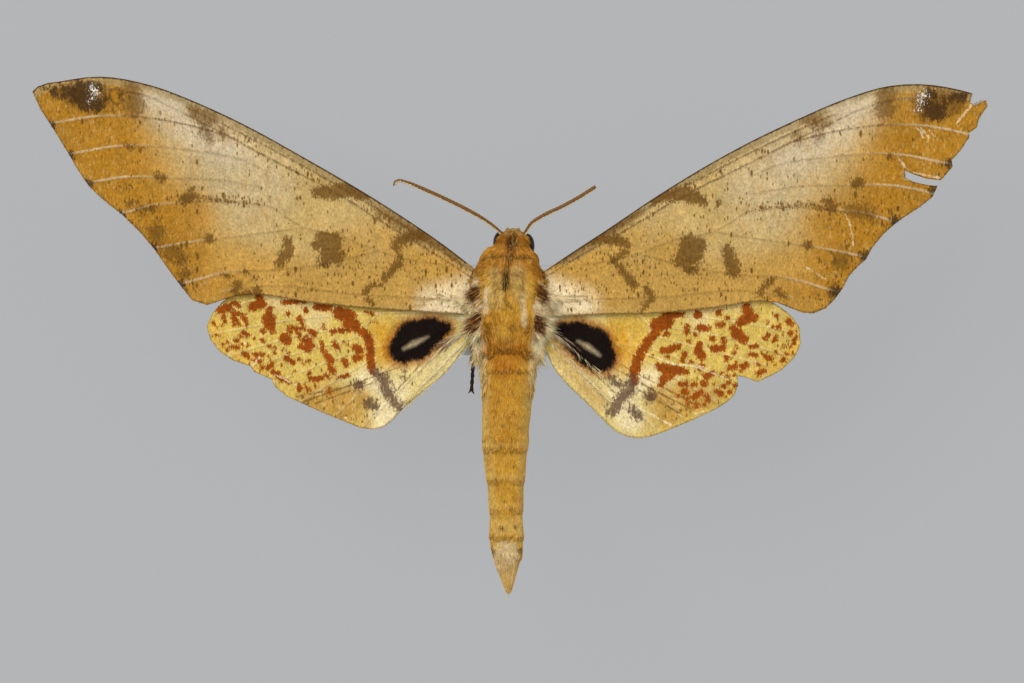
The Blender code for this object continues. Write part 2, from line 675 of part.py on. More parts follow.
def make_thorax():
    """The thorax with its side locks, hollowed for the back of the head and the front of the abdomen."""
    thorax = body_part("thorax", THORAX_RINGS)
    apply_boolean(thorax, "UNION", side_locks(-1) + side_locks(1))
    cutters = [head_cutter(), body_part("abdomen_cutter", ABDOMEN_RINGS, grow=GAP)]
    for middle in EYE_MIDDLE.values():
        cutters.append(ellipsoid("socket", above_body(middle), EYE_SIZE, grow=GAP))
    apply_boolean(thorax, "DIFFERENCE", cutters)


def tegula_shell(name, sign, grow=0.0):
    """The body of a shoulder flap before it is cut to the thorax."""
    middle = above_body((TEGULA_MIDDLE.x * sign, TEGULA_MIDDLE.y, TEGULA_MIDDLE.z))
    turn = Matrix.Rotation(sign * TEGULA_LEAN, 3, "Y")
    return ellipsoid(name, middle, TEGULA_SIZE, turn=turn, grow=grow, sides=14, rings=10)


def make_shoulders():
    """A flap on each shoulder with the locks that trail from it."""
    for side, sign in (("left", -1), ("right", 1)):
        flap = tegula_shell("tegula_" + side, sign)
        locks = []
        for root, tip in TEGULA_LOCKS:
            root = above_body((root[0] * sign, root[1], root[2]))
            tip = above_body((tip[0] * sign, tip[1], tip[2]))
            locks.append(lock(root, tip, (0, 0, 0.2)))
        apply_boolean(flap, "UNION", locks)
        apply_boolean(flap, "DIFFERENCE", [thorax_cutter()])


def abdomen_lip(y):
    """How far the skin stands out at a place, growing to each segment's rear edge."""
    fronts = [ABDOMEN_RINGS[2][0]] + SEGMENT_ENDS
    for front, rear in zip(fronts, SEGMENT_ENDS):
        if rear <= y <= front:
            return SEGMENT_LIP * (front - y) / (front - rear)
    return 0.0


def make_abdomen():
    """The abdomen, with each segment's rear edge standing over the front of the next."""
    stops = [ring[0] for ring in ABDOMEN_RINGS if ring[0] > SEGMENT_ENDS[0] + 1]
    for end in SEGMENT_ENDS:
        before = stops[-1]
        stops += [(before + end) / 2, end, end - SEGMENT_GROOVE]
    stops += [ring[0] for ring in ABDOMEN_RINGS if ring[0] < stops[-1]]
    body_part("abdomen", ABDOMEN_RINGS, stops=stops, lip=abdomen_lip)


def make_tail():
    """The tail's tuft: a short core and a ring of locks that close on its tip."""
    y, middle, half, low, high = ABDOMEN_RINGS[-1]
    root = Vector((middle, y - GAP, BODY_Z + (low + high) / 2))
    tip = above_body(TAIL_TIP)
    core_end = root.lerp(tip, 0.55)
    path = [root.lerp(core_end, share) for share in (0.0, 0.15, 0.5, 0.85, 1.0)]
    tuft = tube("tail_tuft", path, [half * share for share in (0.0, 0.75, 0.6, 0.35, 0.0)], sides=8)
    locks = []
    for i in range(TAIL_LOCKS):
        angle = 2 * math.pi * (i + 0.3) / TAIL_LOCKS
        around = Vector((math.cos(angle), 0, math.sin(angle)))
        start = root + around * half * 0.62 + Vector((0, -0.3, 0))
        reach = 0.8 + 0.2 * math.cos(3 * angle)
        end = root.lerp(tip, reach) + around * 0.12
        locks.append(lock(start, end, around * 0.12, up=around))
    apply_boolean(tuft, "UNION", locks)


def make_wings():
    """Both pairs of wings, the hindwings a little below the forewings."""
    sheets = [
        ("forewing_left", FOREWING_LEFT, FOREWING_VEINS, 0.0),
        ("forewing_right", FOREWING_RIGHT, FOREWING_VEINS, SET_ANGLE_RIGHT),
        ("hindwing_left", HINDWING_LEFT, HINDWING_VEINS, 0.0),
        ("hindwing_right", HINDWING_RIGHT, HINDWING_VEINS, 0.0),
    ]
    for name, runs, veins, turn in sheets:
        pair, side = name.split("_")
        drop = HINDWING_DROP if pair == "hindwing" else 0.0
        sheet = wing(name, runs, veins, side, drop, turn)
        cutters = [thorax_cutter()]
        if pair == "forewing":
            cutters.append(tegula_shell("tegula_cutter", -1 if side == "left" else 1, grow=GAP))
        apply_boolean(sheet, "DIFFERENCE", cutters)


def limb(start, end, width):
    """One straight stretch of a leg, widest near its middle and rounded at its ends."""
    over = (end - start).normalized() * width * 0.5
    first, last = start - over, end + over
    path = [first.lerp(last, share) for share in (0.0, 0.06, 0.35, 0.8, 0.96, 1.0)]
    widths = [width * share for share in (0.0, 0.75, 1.0, 0.85, 0.6, 0.0)]
    return tube("limb", path, widths, up=(0.3, 0.2, 1))


def foot_tube(ankle, toe):
    """The foot, swelling at the end of each of its short links."""
    over = (toe - ankle).normalized() * FOOT_RADIUS
    path = [ankle - over]
    widths = [0.0]
    for i in range(FOOT_LINKS):
        path += [ankle.lerp(toe, (i + share) / FOOT_LINKS) for share in (0.08, 0.85)]
        widths += [FOOT_RADIUS * 0.72, FOOT_RADIUS]
    return tube("foot", path + [toe], widths + [0.0], sides=5, up=(0.3, 0.2, 1))


def spike(start, tip, width):
    """A short pointed spur or claw whose root is sunk in what carries it."""
    path = [start.lerp(tip, share) for share in (-0.2, 0.1, 0.6, 1.0)]
    return tube("spike", path, [width * share for share in (0.0, 1.0, 0.7, 0.0)], sides=4)


def make_leg(name, joints):
    """A leg: hip, thigh and shin, a foot that ends in two claws, and the shin's paired spurs."""
    hip, knee_top, knee, ankle, toe = [above_body(joint) for joint in joints]
    leg = limb(knee_top, knee, LEG_RADII[1])
    leg.name = name
    leg.data.name = name
    pieces = [limb(hip, knee_top, LEG_RADII[0]), limb(knee, ankle, LEG_RADII[2]), foot_tube(ankle, toe)]
    foot = (toe - ankle).normalized()
    shin = (ankle - knee).normalized()
    across = foot.cross(Vector((0, 0, 1))).normalized()
    for sign in (-1, 1):
        reach = foot * 0.8 + across * sign * 0.8 - Vector((0, 0, 0.5))
        pieces.append(spike(toe - foot * 0.25, toe + reach * CLAW_LENGTH, CLAW_WIDTH))
        for share in SPUR_PLACES[name.split("_")[0]]:
            start = knee.lerp(ankle, share)
            tip = start + (shin + across * sign * 0.55).normalized() * SPUR_LENGTH
            pieces.append(spike(start, tip, SPUR_WIDTH))
    apply_boolean(leg, "UNION", pieces)
    apply_boolean(leg, "DIFFERENCE", [thorax_cutter()])


def make_stand():
    """An oval base and one rod up to the underside of the thorax."""
    bm = bmesh.new()
    bmesh.ops.create_cone(
        bm, cap_ends=True, segments=STAND_SIDES, radius1=1.0, radius2=1.0, depth=STAND_HEIGHT
    )
    bmesh.ops.scale(bm, vec=(STAND_LENGTH / 2, STAND_WIDTH / 2, 1), verts=bm.verts)
    bmesh.ops.translate(bm, vec=(0, -STAND_BACK, STAND_HEIGHT / 2), verts=bm.verts)
    rim = [edge for edge in bm.edges if min(vert.co.z for vert in edge.verts) > STAND_HEIGHT / 2]
    bmesh.ops.bevel(
        bm, geom=rim, offset=STAND_EDGE, segments=2, profile=0.5, affect="EDGES", material=-1
    )
    make_object("stand_base", bm)
    low = STAND_HEIGHT + GAP
    top = BODY_Z + ring_at(THORAX_RINGS, 0)[2] + ROD_OVERSHOOT
    bm = bmesh.new()
    bmesh.ops.create_cone(
        bm, cap_ends=True, segments=ROD_SIDES, radius1=ROD_RADIUS, radius2=ROD_RADIUS, depth=top - low
    )
    bmesh.ops.translate(bm, vec=(0, 0, (top + low) / 2), verts=bm.verts)
    rod = make_object("stand_rod", bm)
    apply_boolean(rod, "DIFFERENCE", [thorax_cutter()])


def main():
    """Clears the scene and builds the moth and its stand."""
    for old in list(bpy.data.objects):
        bpy.data.objects.remove(old)
    make_head()
    make_feelers()
    make_mouth()
    make_thorax()
    make_shoulders()
    make_abdomen()
    make_tail()
    make_wings()
    for name, joints in LEG_JOINTS.items():
        make_leg(name, joints)
    make_stand()
    for made in bpy.data.objects:
        finish(made)


main()
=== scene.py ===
import math

import bmesh
import bpy
import numpy as np
from mathutils import Matrix, Vector, noise


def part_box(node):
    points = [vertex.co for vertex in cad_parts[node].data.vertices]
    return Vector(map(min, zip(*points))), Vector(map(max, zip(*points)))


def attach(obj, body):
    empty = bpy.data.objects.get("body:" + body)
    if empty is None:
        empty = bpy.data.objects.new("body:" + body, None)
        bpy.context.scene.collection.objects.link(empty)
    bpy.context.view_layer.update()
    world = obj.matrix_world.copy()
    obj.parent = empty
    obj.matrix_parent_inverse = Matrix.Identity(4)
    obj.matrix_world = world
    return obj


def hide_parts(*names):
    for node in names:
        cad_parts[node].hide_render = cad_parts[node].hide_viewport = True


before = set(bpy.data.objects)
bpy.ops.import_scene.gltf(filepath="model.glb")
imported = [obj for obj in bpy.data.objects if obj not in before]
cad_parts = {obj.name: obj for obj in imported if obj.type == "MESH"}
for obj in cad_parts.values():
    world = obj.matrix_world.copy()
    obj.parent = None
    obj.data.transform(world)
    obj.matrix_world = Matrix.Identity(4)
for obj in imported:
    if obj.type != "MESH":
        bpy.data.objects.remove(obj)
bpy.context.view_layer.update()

bl_info = {
    "name": "Set Hawkmoth",
    "version": (1, 0, 0),
    "blender": (4, 5, 0),
    "location": "3D View > Sidebar > Hawkmoth",
    "description": "Dresses the solids of a set hawkmoth in its wings, scales and hair, and lights it",
    "category": "Object",
}

# Named sizes and places are in millimetres where no comment says otherwise.
MM = 0.001

# The photo shows the moth from straight above, 0.12 mm to a pixel, around this place on the model.
PHOTO_WIDTH = 122.9
PHOTO_MIDDLE = (0.48, -7.26)
CAMERA_LENS = 140.0

# The body's axis, and the wings' sheets above it, as the solids have them.
BODY_Z = 27.0
WING_ROOT_X = 4.0
WING_RISE = 0.07
WING_ARCH = 0.0005
FOREWING_Z = 1.6
HINDWING_DROP = 1.1
SET_ANGLE_RIGHT = math.radians(-1.4)

# A membrane stands up at its veins, sags in the cells between them and waves a little.
VEIN_RISE = 0.12
VEIN_REACH = 0.17
CELL_SAG = 0.12
CELL_REACH = 1.3
WAVE_HEIGHT = 0.16
WAVE_DENSITY = 0.16

# Faces of a wing's solid that look up less than this belong to its edge or underside.
LEAST_UPWARD = 0.3
MOST_SPLITS = 9

# The front margin faces forward at least this much, and lies in front of a line where tears lie behind.
LEAST_FORWARD = 0.3
MARGIN_START = 0.5
MARGIN_SLOPE = 0.38

# A place farther off than any on the model.
FAR = 99.0

PALETTE = {
    "cream": "#F0DDB4",
    "chalk": "#C5B290",
    "blush": "#BDA679",
    "straw": "#D3BE7E",
    "reed": "#BBA06A",
    "buff": "#BA9C60",
    "tan": "#B58A3F",
    "orange": "#A3711D",
    "amber": "#CC9426",
    "yellow": "#CDAE54",
    "rust": "#91460A",
    "brown": "#684718",
    "umber": "#3E2A14",
    "mauve": "#5A3F2E",
    "black": "#140B07",
    "slit": "#B09C78",
    "white": "#EFE9DC",
    "ochre": "#D8A436",
    "russet": "#AC6A12",
    "flame": "#B86E12",
    "honey": "#E4BE6C",
    "plum": "#4C2618",
    "ground": "#B2B3B5",
}

# Veins of the left wings, from the root out, in millimetres.
FOREWING_VEINS = {
    "subcosta": [(-3.5, 0.6), (-14.5, 7.9), (-25.0, 14.0), (-32.0, 17.7), (-38.5, 20.8)],
    "radius": [
        (-3.5, -0.2), (-8.0, 2.8), (-14.5, 6.7), (-19.7, 10.0), (-28.0, 14.4), (-37.4, 19.3),
        (-43.8, 22.3), (-50.5, 23.2),
    ],
    "radial_branch": [(-34.0, 17.5), (-38.5, 18.7), (-44.0, 19.6), (-50.0, 19.6), (-54.9, 18.7)],
    "medial_1": [(-28.9, 13.2), (-31.4, 14.4), (-38.3, 15.7), (-45.7, 16.2), (-52.7, 15.1)],
    "medial_2": [(-29.1, 11.1), (-33.6, 12.0), (-39.8, 12.3), (-46.2, 12.4), (-50.6, 11.6)],
    "medial_3": [(-28.3, 8.9), (-33.8, 9.6), (-38.6, 9.4), (-42.3, 9.1), (-46.6, 7.9)],
    "cubital_1": [(-24.5, 6.4), (-32.0, 5.4), (-37.0, 4.8), (-42.8, 3.8)],
    "cubital_2": [(-15.5, 3.6), (-22.8, 1.9), (-29.0, 1.3), (-33.2, 1.1), (-39.8, -0.6)],
    "anal": [(-3.5, -2.0), (-12.0, -1.9), (-20.0, -1.4), (-28.0, -0.5), (-34.0, -1.2)],
    "cubitus": [(-6.5, 1.8), (-11.9, 2.6), (-15.5, 3.6), (-20.0, 5.4), (-24.5, 6.4), (-28.3, 8.9)],
    "cell_end": [(-28.3, 8.9), (-29.1, 11.1), (-28.9, 13.2), (-28.0, 14.4)],
}
HINDWING_VEINS = {
    "subcosta": [(-3.5, -3.2), (-12.0, -1.8), (-20.0, -1.2), (-28.0, -1.6), (-35.0, -3.8)],
    "radial_sector": [(-3.5, -4.0), (-10.0, -3.7), (-15.5, -3.8), (-24.0, -4.4), (-36.0, -6.4)],
    "medial_1": [(-17.0, -5.2), (-25.0, -6.5), (-34.0, -9.1)],
    "medial_2": [(-17.0, -6.4), (-24.0, -8.3), (-31.4, -10.2)],
    "medial_3": [(-16.5, -7.8), (-23.0, -10.2), (-28.9, -12.5)],
    "cubital_1": [(-13.0, -7.6), (-19.0, -10.9), (-25.2, -14.6)],
    "cubital_2": [(-9.0, -6.4), (-15.0, -10.8), (-21.0, -16.4)],
    "anal_1": [(-3.5, -4.9), (-6.5, -6.8), (-11.0, -11.0), (-17.6, -17.6)],
    "anal_2": [(-5.0, -7.0), (-8.5, -10.6), (-14.6, -16.8)],
    "cubitus": [(-3.5, -4.4), (-9.0, -6.4), (-13.0, -7.6), (-16.5, -7.8)],
    "cell_end": [(-16.5, -7.8), (-17.0, -6.4), (-17.0, -5.2), (-15.5, -3.8)],
}

# A mark is a chain of (x, y, half width) in millimetres, seen from above.
FOREWING_LEFT_MARKS = {
    "brown": [
        [(-22.0, 4.9, 1.1), (-21.0, 4.8, 1.1), (-21.3, 3.3, 1.3), (-20.5, 2.9, 0.9)], [(-22.9, 4.3, 0.7)],
        [(-21.9, 2.3, 0.7)], [(-19.8, 3.3, 0.4)],
        [(-26.4, 4.9, 0.5), (-26.3, 3.8, 0.7), (-26.9, 2.8, 0.7), (-27.4, 1.9, 0.5)],
        [(-22.9, 10.6, 0.65), (-21.2, 10.6, 0.9), (-19.6, 10.9, 0.9), (-18.0, 10.5, 0.7),
         (-16.7, 9.9, 0.3)],
        [(-25.3, 9.95, 0.2), (-24.8, 9.8, 0.15)],
        [(-9.8, 5.5, 0.6), (-11.6, 5.4, 0.6), (-13.2, 4.7, 0.7)],
        [(-13.6, 4.3, 0.5), (-13.2, 3.4, 0.35), (-12.9, 2.8, 0.4)],
        [(-13.1, 2.2, 0.5), (-14.2, 0.9, 0.5), (-14.9, 0.2, 0.45)],
        [(-15.0, -0.4, 0.15), (-16.6, -0.6, 0.3)], [(-16.9, -1.1, 0.45), (-17.2, -1.6, 0.3)],
        [(-16.7, -2.3, 0.4), (-16.2, -2.8, 0.25)], [(-31.4, 1.0, 0.35)],
        [(-32.3, -0.4, 0.55), (-32.6, -1.2, 0.5)], [(-32.3, -1.6, 0.3), (-30.5, -1.6, 0.3)],
        [(-30.0, -1.2, 0.6), (-29.6, -1.5, 0.4)], [(-30.3, 0.4, 0.25)], [(-26.4, 0.8, 0.25)],
        [(-34.0, 0.65, 0.2), (-33.2, 0.6, 0.2)], [(-45.2, 15.9, 0.4)], [(-45.6, 16.2, 0.25)],
        [(-43.9, 15.7, 0.25)], [(-41.9, 12.6, 0.45), (-41.3, 12.2, 0.4)],
        [(-38.6, 9.8, 0.7), (-37.7, 10.0, 0.5)], [(-37.8, 10.9, 0.25)], [(-35.7, 5.1, 0.55)],
        [(-36.9, 9.9, 0.1), (-34.4, 9.6, 0.1)], [(-33.6, 9.5, 0.2), (-32.4, 9.3, 0.1)],
        [(-31.4, 9.2, 0.28)], [(-29.9, 9.2, 0.1)], [(-42.4, 8.6, 0.35)], [(-45.2, 9.3, 0.4)],
    ],
    "smoke": [
        [(-37.6, 20.3, 0.6), (-36.6, 19.6, 0.9), (-35.6, 19.1, 0.8)],
        [(-36.4, 18.4, 0.5), (-35.7, 16.9, 0.4)], [(-34.2, 18.0, 0.4), (-34.0, 17.2, 0.4)],
        [(-45.1, 22.6, 1.1), (-44.7, 20.9, 1.2)],
        [(-15.5, 8.3, 0.4), (-10.5, 5.5, 0.7), (-6.0, 2.9, 0.5)], [(-42.0, 5.8, 0.9), (-41.8, 4.7, 0.7)],
        [(-40.2, 3.5, 0.9), (-39.2, 2.6, 0.8)], [(-38.6, 0.9, 0.7)],
        [(-53.8, 22.7, 0.8), (-51.6, 22.2, 1.6), (-48.8, 21.7, 1.5)], [(-43.8, 8.6, 0.5)],
        [(-55.4, 22.8, 0.2), (-54.2, 22.3, 0.35)], [(-47.2, 20.6, 0.3)],
    ],
    "dark": [
        [(-51.7, 22.3, 0.8), (-50.5, 21.7, 1.1), (-49.2, 21.0, 0.8)],
        [(-51.2, 23.2, 0.5), (-48.8, 23.2, 0.4)], [(-55.0, 22.9, 0.2)],
        [(-54.2, 22.9, 0.25), (-54.0, 22.3, 0.25)], [(-53.1, 23.1, 0.2), (-53.0, 22.2, 0.25)],
        [(-52.2, 23.0, 0.2), (-52.1, 21.9, 0.25)], [(-46.4, 22.0, 0.12)], [(-48.2, 21.8, 0.25)],
        [(-54.7, 18.5, 0.42)], [(-52.4, 14.9, 0.5)], [(-50.2, 11.5, 0.45)], [(-46.3, 7.8, 0.42)],
        [(-42.5, 3.8, 0.5)], [(-39.3, -0.5, 0.5)], [(-50.4, 22.4, 0.7), (-49.9, 21.2, 0.7)],
    ],
    "spot": [[(-46.9, 22.3, 0.75), (-46.8, 21.8, 0.7)]],
    "frost": [[(-49.6, 23.2, 0.5), (-49.4, 22.4, 0.6), (-49.7, 21.7, 0.3)]],
    "pale": [
        [(-43.2, 22.0, 0.5), (-41.5, 21.0, 0.9), (-39.3, 20.3, 0.6)],
    ],
    "crack": [],
}
FOREWING_RIGHT_MARKS = {
    "brown": [
        [(21.6, 4.4, 1.1), (22.9, 4.2, 0.9)], [(21.4, 2.8, 1.3), (22.2, 3.2, 1.2)],
        [(20.3, 2.4, 0.6)], [(21.6, 1.5, 0.7), (22.6, 1.2, 0.4)], [(21.9, 5.4, 0.4)],
        [(26.3, 3.7, 0.6), (26.6, 2.4, 0.8), (27.0, 1.2, 0.8)],
        [(17.3, 9.6, 0.4), (19.0, 10.2, 0.7), (20.8, 10.4, 0.9), (22.4, 10.0, 0.8), (23.4, 9.5, 0.6)],
        [(25.2, 9.3, 0.35), (25.1, 8.9, 0.2)],
        [(10.6, 4.9, 0.5), (12.0, 5.0, 0.6), (13.5, 4.7, 0.6), (14.3, 4.3, 0.45)],
        [(14.0, 3.5, 0.4), (13.0, 2.7, 0.35), (12.7, 2.4, 0.5)],
        [(13.3, 1.7, 0.4), (14.3, 0.5, 0.5), (15.1, -0.6, 0.5)],
        [(16.7, -1.0, 0.4), (17.2, -1.9, 0.45), (16.7, -2.8, 0.4), (16.1, -3.4, 0.3)],
        [(31.7, 0.2, 0.35), (30.6, -0.8, 0.4), (30.1, -1.6, 0.35)], [(32.3, -1.2, 0.45), (33.0, -1.9, 0.3)],
        [(45.7, 14.8, 0.45)], [(41.7, 11.6, 0.65), (42.0, 11.8, 0.6)], [(38.4, 9.4, 0.65), (38.7, 8.8, 0.7)],
        [(37.3, 8.7, 0.3)], [(35.8, 4.3, 0.55)],
        [(30.4, 8.8, 0.08), (36.9, 9.1, 0.12)], [(32.8, 9.1, 0.24)], [(34.6, 9.2, 0.2)],
    ],
    "smoke": [
        [(36.0, 19.3, 0.8), (37.0, 19.0, 0.9), (37.9, 18.9, 0.6)], [(37.4, 17.8, 0.4), (37.2, 17.0, 0.3)],
        [(34.4, 17.4, 0.5), (34.5, 16.7, 0.3)], [(45.2, 22.2, 1.0), (45.0, 20.6, 1.2)],
        [(15.5, 8.0, 0.4), (10.5, 5.2, 0.7), (6.0, 2.7, 0.5)],
        [(50.5, 21.1, 2.1), (53.2, 21.4, 1.4)], [(41.5, 8.4, 1.0), (43.4, 7.8, 0.7)], [(39.8, 2.4, 1.0)],
        [(39.0, -1.2, 0.8)],
    ],
    "dark": [
        [(50.6, 22.2, 0.6)], [(50.0, 21.2, 0.7), (50.8, 20.3, 1.0), (51.6, 19.8, 0.6)],
        [(53.0, 21.8, 0.3), (54.6, 22.0, 0.3)], [(52.0, 21.8, 0.25), (52.1, 20.7, 0.35)],
        [(52.7, 13.9, 0.4)], [(50.7, 10.8, 0.4)], [(46.3, 7.2, 0.42)], [(42.6, 3.0, 0.45)],
        [(39.2, -1.3, 0.45)],
    ],
    "spot": [],
    "frost": [[(49.6, 22.2, 0.6), (49.3, 21.5, 0.6)], [(48.9, 20.6, 0.3)]],
    "pale": [
        [(39.3, 20.2, 0.7), (41.5, 20.9, 0.9), (43.2, 21.5, 0.6)],
    ],
    "crack": [
        [(53.6, 18.8, 0.1), (55.4, 21.0, 0.12)], [(46.6, 14.8, 0.06), (47.4, 13.6, 0.14)],
        [(40.3, 8.0, 0.05), (41.0, 6.5, 0.08), (41.3, 4.2, 0.08)], [(35.2, 1.9, 0.03), (38.2, 0.1, 0.06)],
        [(47.5, 12.3, 0.2), (48.4, 12.0, 0.12)], [(51.5, 12.3, 0.12), (48.5, 12.9, 0.1)],
        [(48.7, 18.4, 0.06), (49.4, 17.7, 0.12), (49.6, 17.0, 0.05)],
        [(49.3, 18.3, 0.05), (50.4, 17.0, 0.14)], [(50.0, 16.7, 0.05), (50.8, 16.3, 0.08)],
        [(50.3, 18.0, 0.04), (51.0, 17.2, 0.08)],
    ],
}
HINDWING_LEFT_MARKS = {
    "rust": [
        [(-17.1, -3.7, 0.16), (-16.2, -4.0, 0.2)], [(-15.8, -4.9, 0.12)], [(-16.6, -5.0, 0.14)],
        [(-34.6, -3.5, 0.45), (-33.4, -3.2, 0.5)], [(-32.8, -2.7, 0.35), (-32.3, -2.9, 0.3)],
        [(-30.6, -3.1, 0.55), (-29.6, -2.8, 0.6)], [(-29.9, -1.8, 0.5), (-29.6, -2.6, 0.5)],
        [(-34.1, -4.1, 0.25), (-34.0, -4.9, 0.25)], [(-32.9, -3.9, 0.3), (-32.8, -5.2, 0.3)],
        [(-32.6, -3.9, 0.28), (-31.9, -4.0, 0.25), (-31.3, -5.2, 0.25)],
        [(-32.5, -4.6, 0.2), (-32.2, -5.3, 0.2)],
        [(-28.7, -3.9, 0.5), (-28.7, -4.6, 0.8), (-28.6, -5.3, 0.6)], [(-28.5, -3.3, 0.35)],
        [(-28.2, -5.6, 0.25), (-28.2, -6.2, 0.25)],
        [(-27.0, -2.6, 0.25), (-25.9, -2.5, 0.3), (-24.4, -2.4, 0.25)], [(-26.4, -3.9, 0.3)],
        [(-24.3, -3.5, 0.35)], [(-23.0, -3.1, 0.4), (-21.5, -3.2, 0.45)],
        [(-20.3, -3.8, 0.75), (-19.0, -4.3, 0.8)], [(-19.2, -5.1, 0.65), (-18.3, -5.2, 0.6)],
        [(-21.1, -6.1, 0.3), (-20.0, -5.9, 0.3), (-19.0, -5.9, 0.3)], [(-22.1, -5.5, 0.25)],
        [(-18.6, -5.6, 0.4), (-17.4, -6.1, 0.5), (-16.7, -7.0, 0.55), (-16.5, -8.2, 0.5),
         (-16.5, -9.6, 0.5), (-16.3, -10.8, 0.4)],
        [(-25.0, -4.5, 0.35), (-24.7, -5.1, 0.3)],
        [(-26.3, -5.6, 0.3), (-25.2, -5.7, 0.3), (-24.4, -5.8, 0.25)],
        [(-25.2, -6.2, 0.25), (-25.0, -6.7, 0.25)], [(-26.1, -6.2, 0.3)],
        [(-26.9, -6.8, 0.6), (-26.6, -7.1, 0.6)], [(-23.7, -6.1, 0.35), (-23.2, -6.3, 0.4)],
        [(-24.3, -7.1, 0.55), (-23.9, -7.4, 0.5)],
        [(-25.0, -7.9, 0.3), (-23.9, -8.1, 0.45), (-23.5, -7.8, 0.35)],
        [(-22.4, -7.3, 0.2), (-22.2, -8.3, 0.25), (-21.8, -8.9, 0.3)],
        [(-21.6, -9.1, 0.4), (-21.2, -9.6, 0.4)], [(-21.4, -10.2, 0.35), (-21.0, -10.9, 0.35)],
        [(-20.9, -7.4, 0.3), (-20.5, -8.0, 0.3)], [(-19.6, -7.4, 0.2)],
        [(-18.4, -7.9, 0.4), (-17.8, -8.3, 0.5)], [(-18.3, -9.3, 0.4), (-17.8, -9.1, 0.4)],
        [(-19.6, -9.6, 0.35), (-19.4, -10.1, 0.35)], [(-20.4, -11.6, 0.15), (-19.3, -11.3, 0.25)],
        [(-31.8, -6.2, 0.3), (-31.2, -6.5, 0.3)], [(-32.6, -7.2, 0.25), (-32.1, -6.8, 0.25)],
        [(-31.9, -7.6, 0.2)], [(-31.1, -7.6, 0.2)], [(-33.6, -7.3, 0.18)], [(-34.9, -6.5, 0.18)],
        [(-34.2, -7.7, 0.18)], [(-33.1, -7.9, 0.25), (-32.4, -8.0, 0.25)], [(-33.7, -8.3, 0.2)],
        [(-29.5, -5.9, 0.25), (-29.3, -6.2, 0.2)], [(-29.6, -7.0, 0.25), (-29.2, -7.3, 0.2)],
        [(-30.4, -6.9, 0.18)], [(-28.6, -7.8, 0.2)], [(-27.9, -8.0, 0.22)], [(-28.0, -8.6, 0.22)],
        [(-27.0, -8.3, 0.16)], [(-26.3, -8.6, 0.16)], [(-31.6, -8.7, 0.35), (-31.1, -9.1, 0.3)],
        [(-30.2, -8.9, 0.3), (-29.5, -8.8, 0.3)], [(-30.3, -9.5, 0.3), (-29.7, -9.6, 0.3)],
        [(-28.7, -9.1, 0.2)], [(-28.4, -9.5, 0.2)], [(-26.6, -9.3, 0.35), (-25.8, -9.8, 0.3)],
        [(-25.0, -9.4, 0.3)], [(-24.6, -9.9, 0.22)], [(-23.9, -9.6, 0.22)], [(-25.5, -10.8, 0.2)],
        [(-27.1, -10.1, 0.14)], [(-28.8, -10.4, 0.3), (-28.3, -10.1, 0.3)], [(-29.4, -10.3, 0.25)],
        [(-28.2, -10.9, 0.25), (-27.5, -11.1, 0.25)],
        [(-27.7, -11.6, 0.22), (-26.9, -11.9, 0.28), (-26.3, -12.2, 0.22)], [(-23.8, -11.1, 0.22)],
        [(-23.8, -11.7, 0.3), (-23.0, -11.8, 0.35), (-22.4, -11.6, 0.3)],
        [(-21.8, -11.2, 0.2), (-21.6, -11.6, 0.2)], [(-25.2, -12.3, 0.25), (-25.0, -13.0, 0.35)],
        [(-24.4, -12.4, 0.15), (-23.9, -13.2, 0.2)], [(-23.2, -12.6, 0.14)],
        [(-21.5, -12.9, 0.15), (-21.4, -13.5, 0.15)], [(-35.4, -4.9, 0.1), (-35.0, -5.4, 0.12)],
        [(-34.3, -5.3, 0.12)],
    ],
    "mauve": [
        [(-15.8, -10.9, 0.45), (-14.9, -12.0, 0.55), (-14.4, -13.6, 0.6)],
        [(-18.0, -12.6, 0.55)], [(-17.0, -14.6, 0.4), (-16.2, -15.0, 0.6)],
        [(-13.9, -14.1, 0.45), (-13.1, -15.1, 0.45)], [(-12.6, -11.5, 0.15), (-12.3, -11.0, 0.2)],
    ],
    "worn": [],
    "amber": [[(-15.2, -6.2, 0.3), (-14.6, -9.4, 0.3)]],
    "black": [[(-12.5, -8.1, 1.75), (-11.2, -7.1, 2.4), (-9.3, -6.1, 1.75), (-7.7, -5.7, 0.8)]],
    "slit": [[(-12.5, -8.1, 0.12), (-11.3, -7.5, 0.3), (-9.6, -6.7, 0.05)]],
    # Thin brown lines along the wing's creases: painted shade of folds that the membrane doesn't have.
    "crease": [
        [(-13.0, -10.3, 0.07), (-18.0, -12.2, 0.1), (-24.6, -14.5, 0.08)],
        [(-15.0, -11.8, 0.05), (-23.2, -14.7, 0.08)], [(-17.0, -12.2, 0.05), (-25.4, -13.9, 0.07)],
        [(-10.0, -9.4, 0.06), (-13.6, -13.4, 0.08)],
    ],
    "nick": [
        [(-30.9, -10.4, 0.12), (-29.8, -9.2, 0.06)], [(-28.0, -11.2, 0.08), (-26.2, -12.1, 0.1)],
        [(-25.6, -12.5, 0.08), (-24.7, -12.0, 0.06)], [(-19.7, -16.9, 0.12), (-19.5, -16.3, 0.06)],
        [(-31.6, -7.4, 0.12), (-31.3, -7.6, 0.08)], [(-24.3, -6.9, 0.05), (-23.6, -6.5, 0.05)],
    ],
}
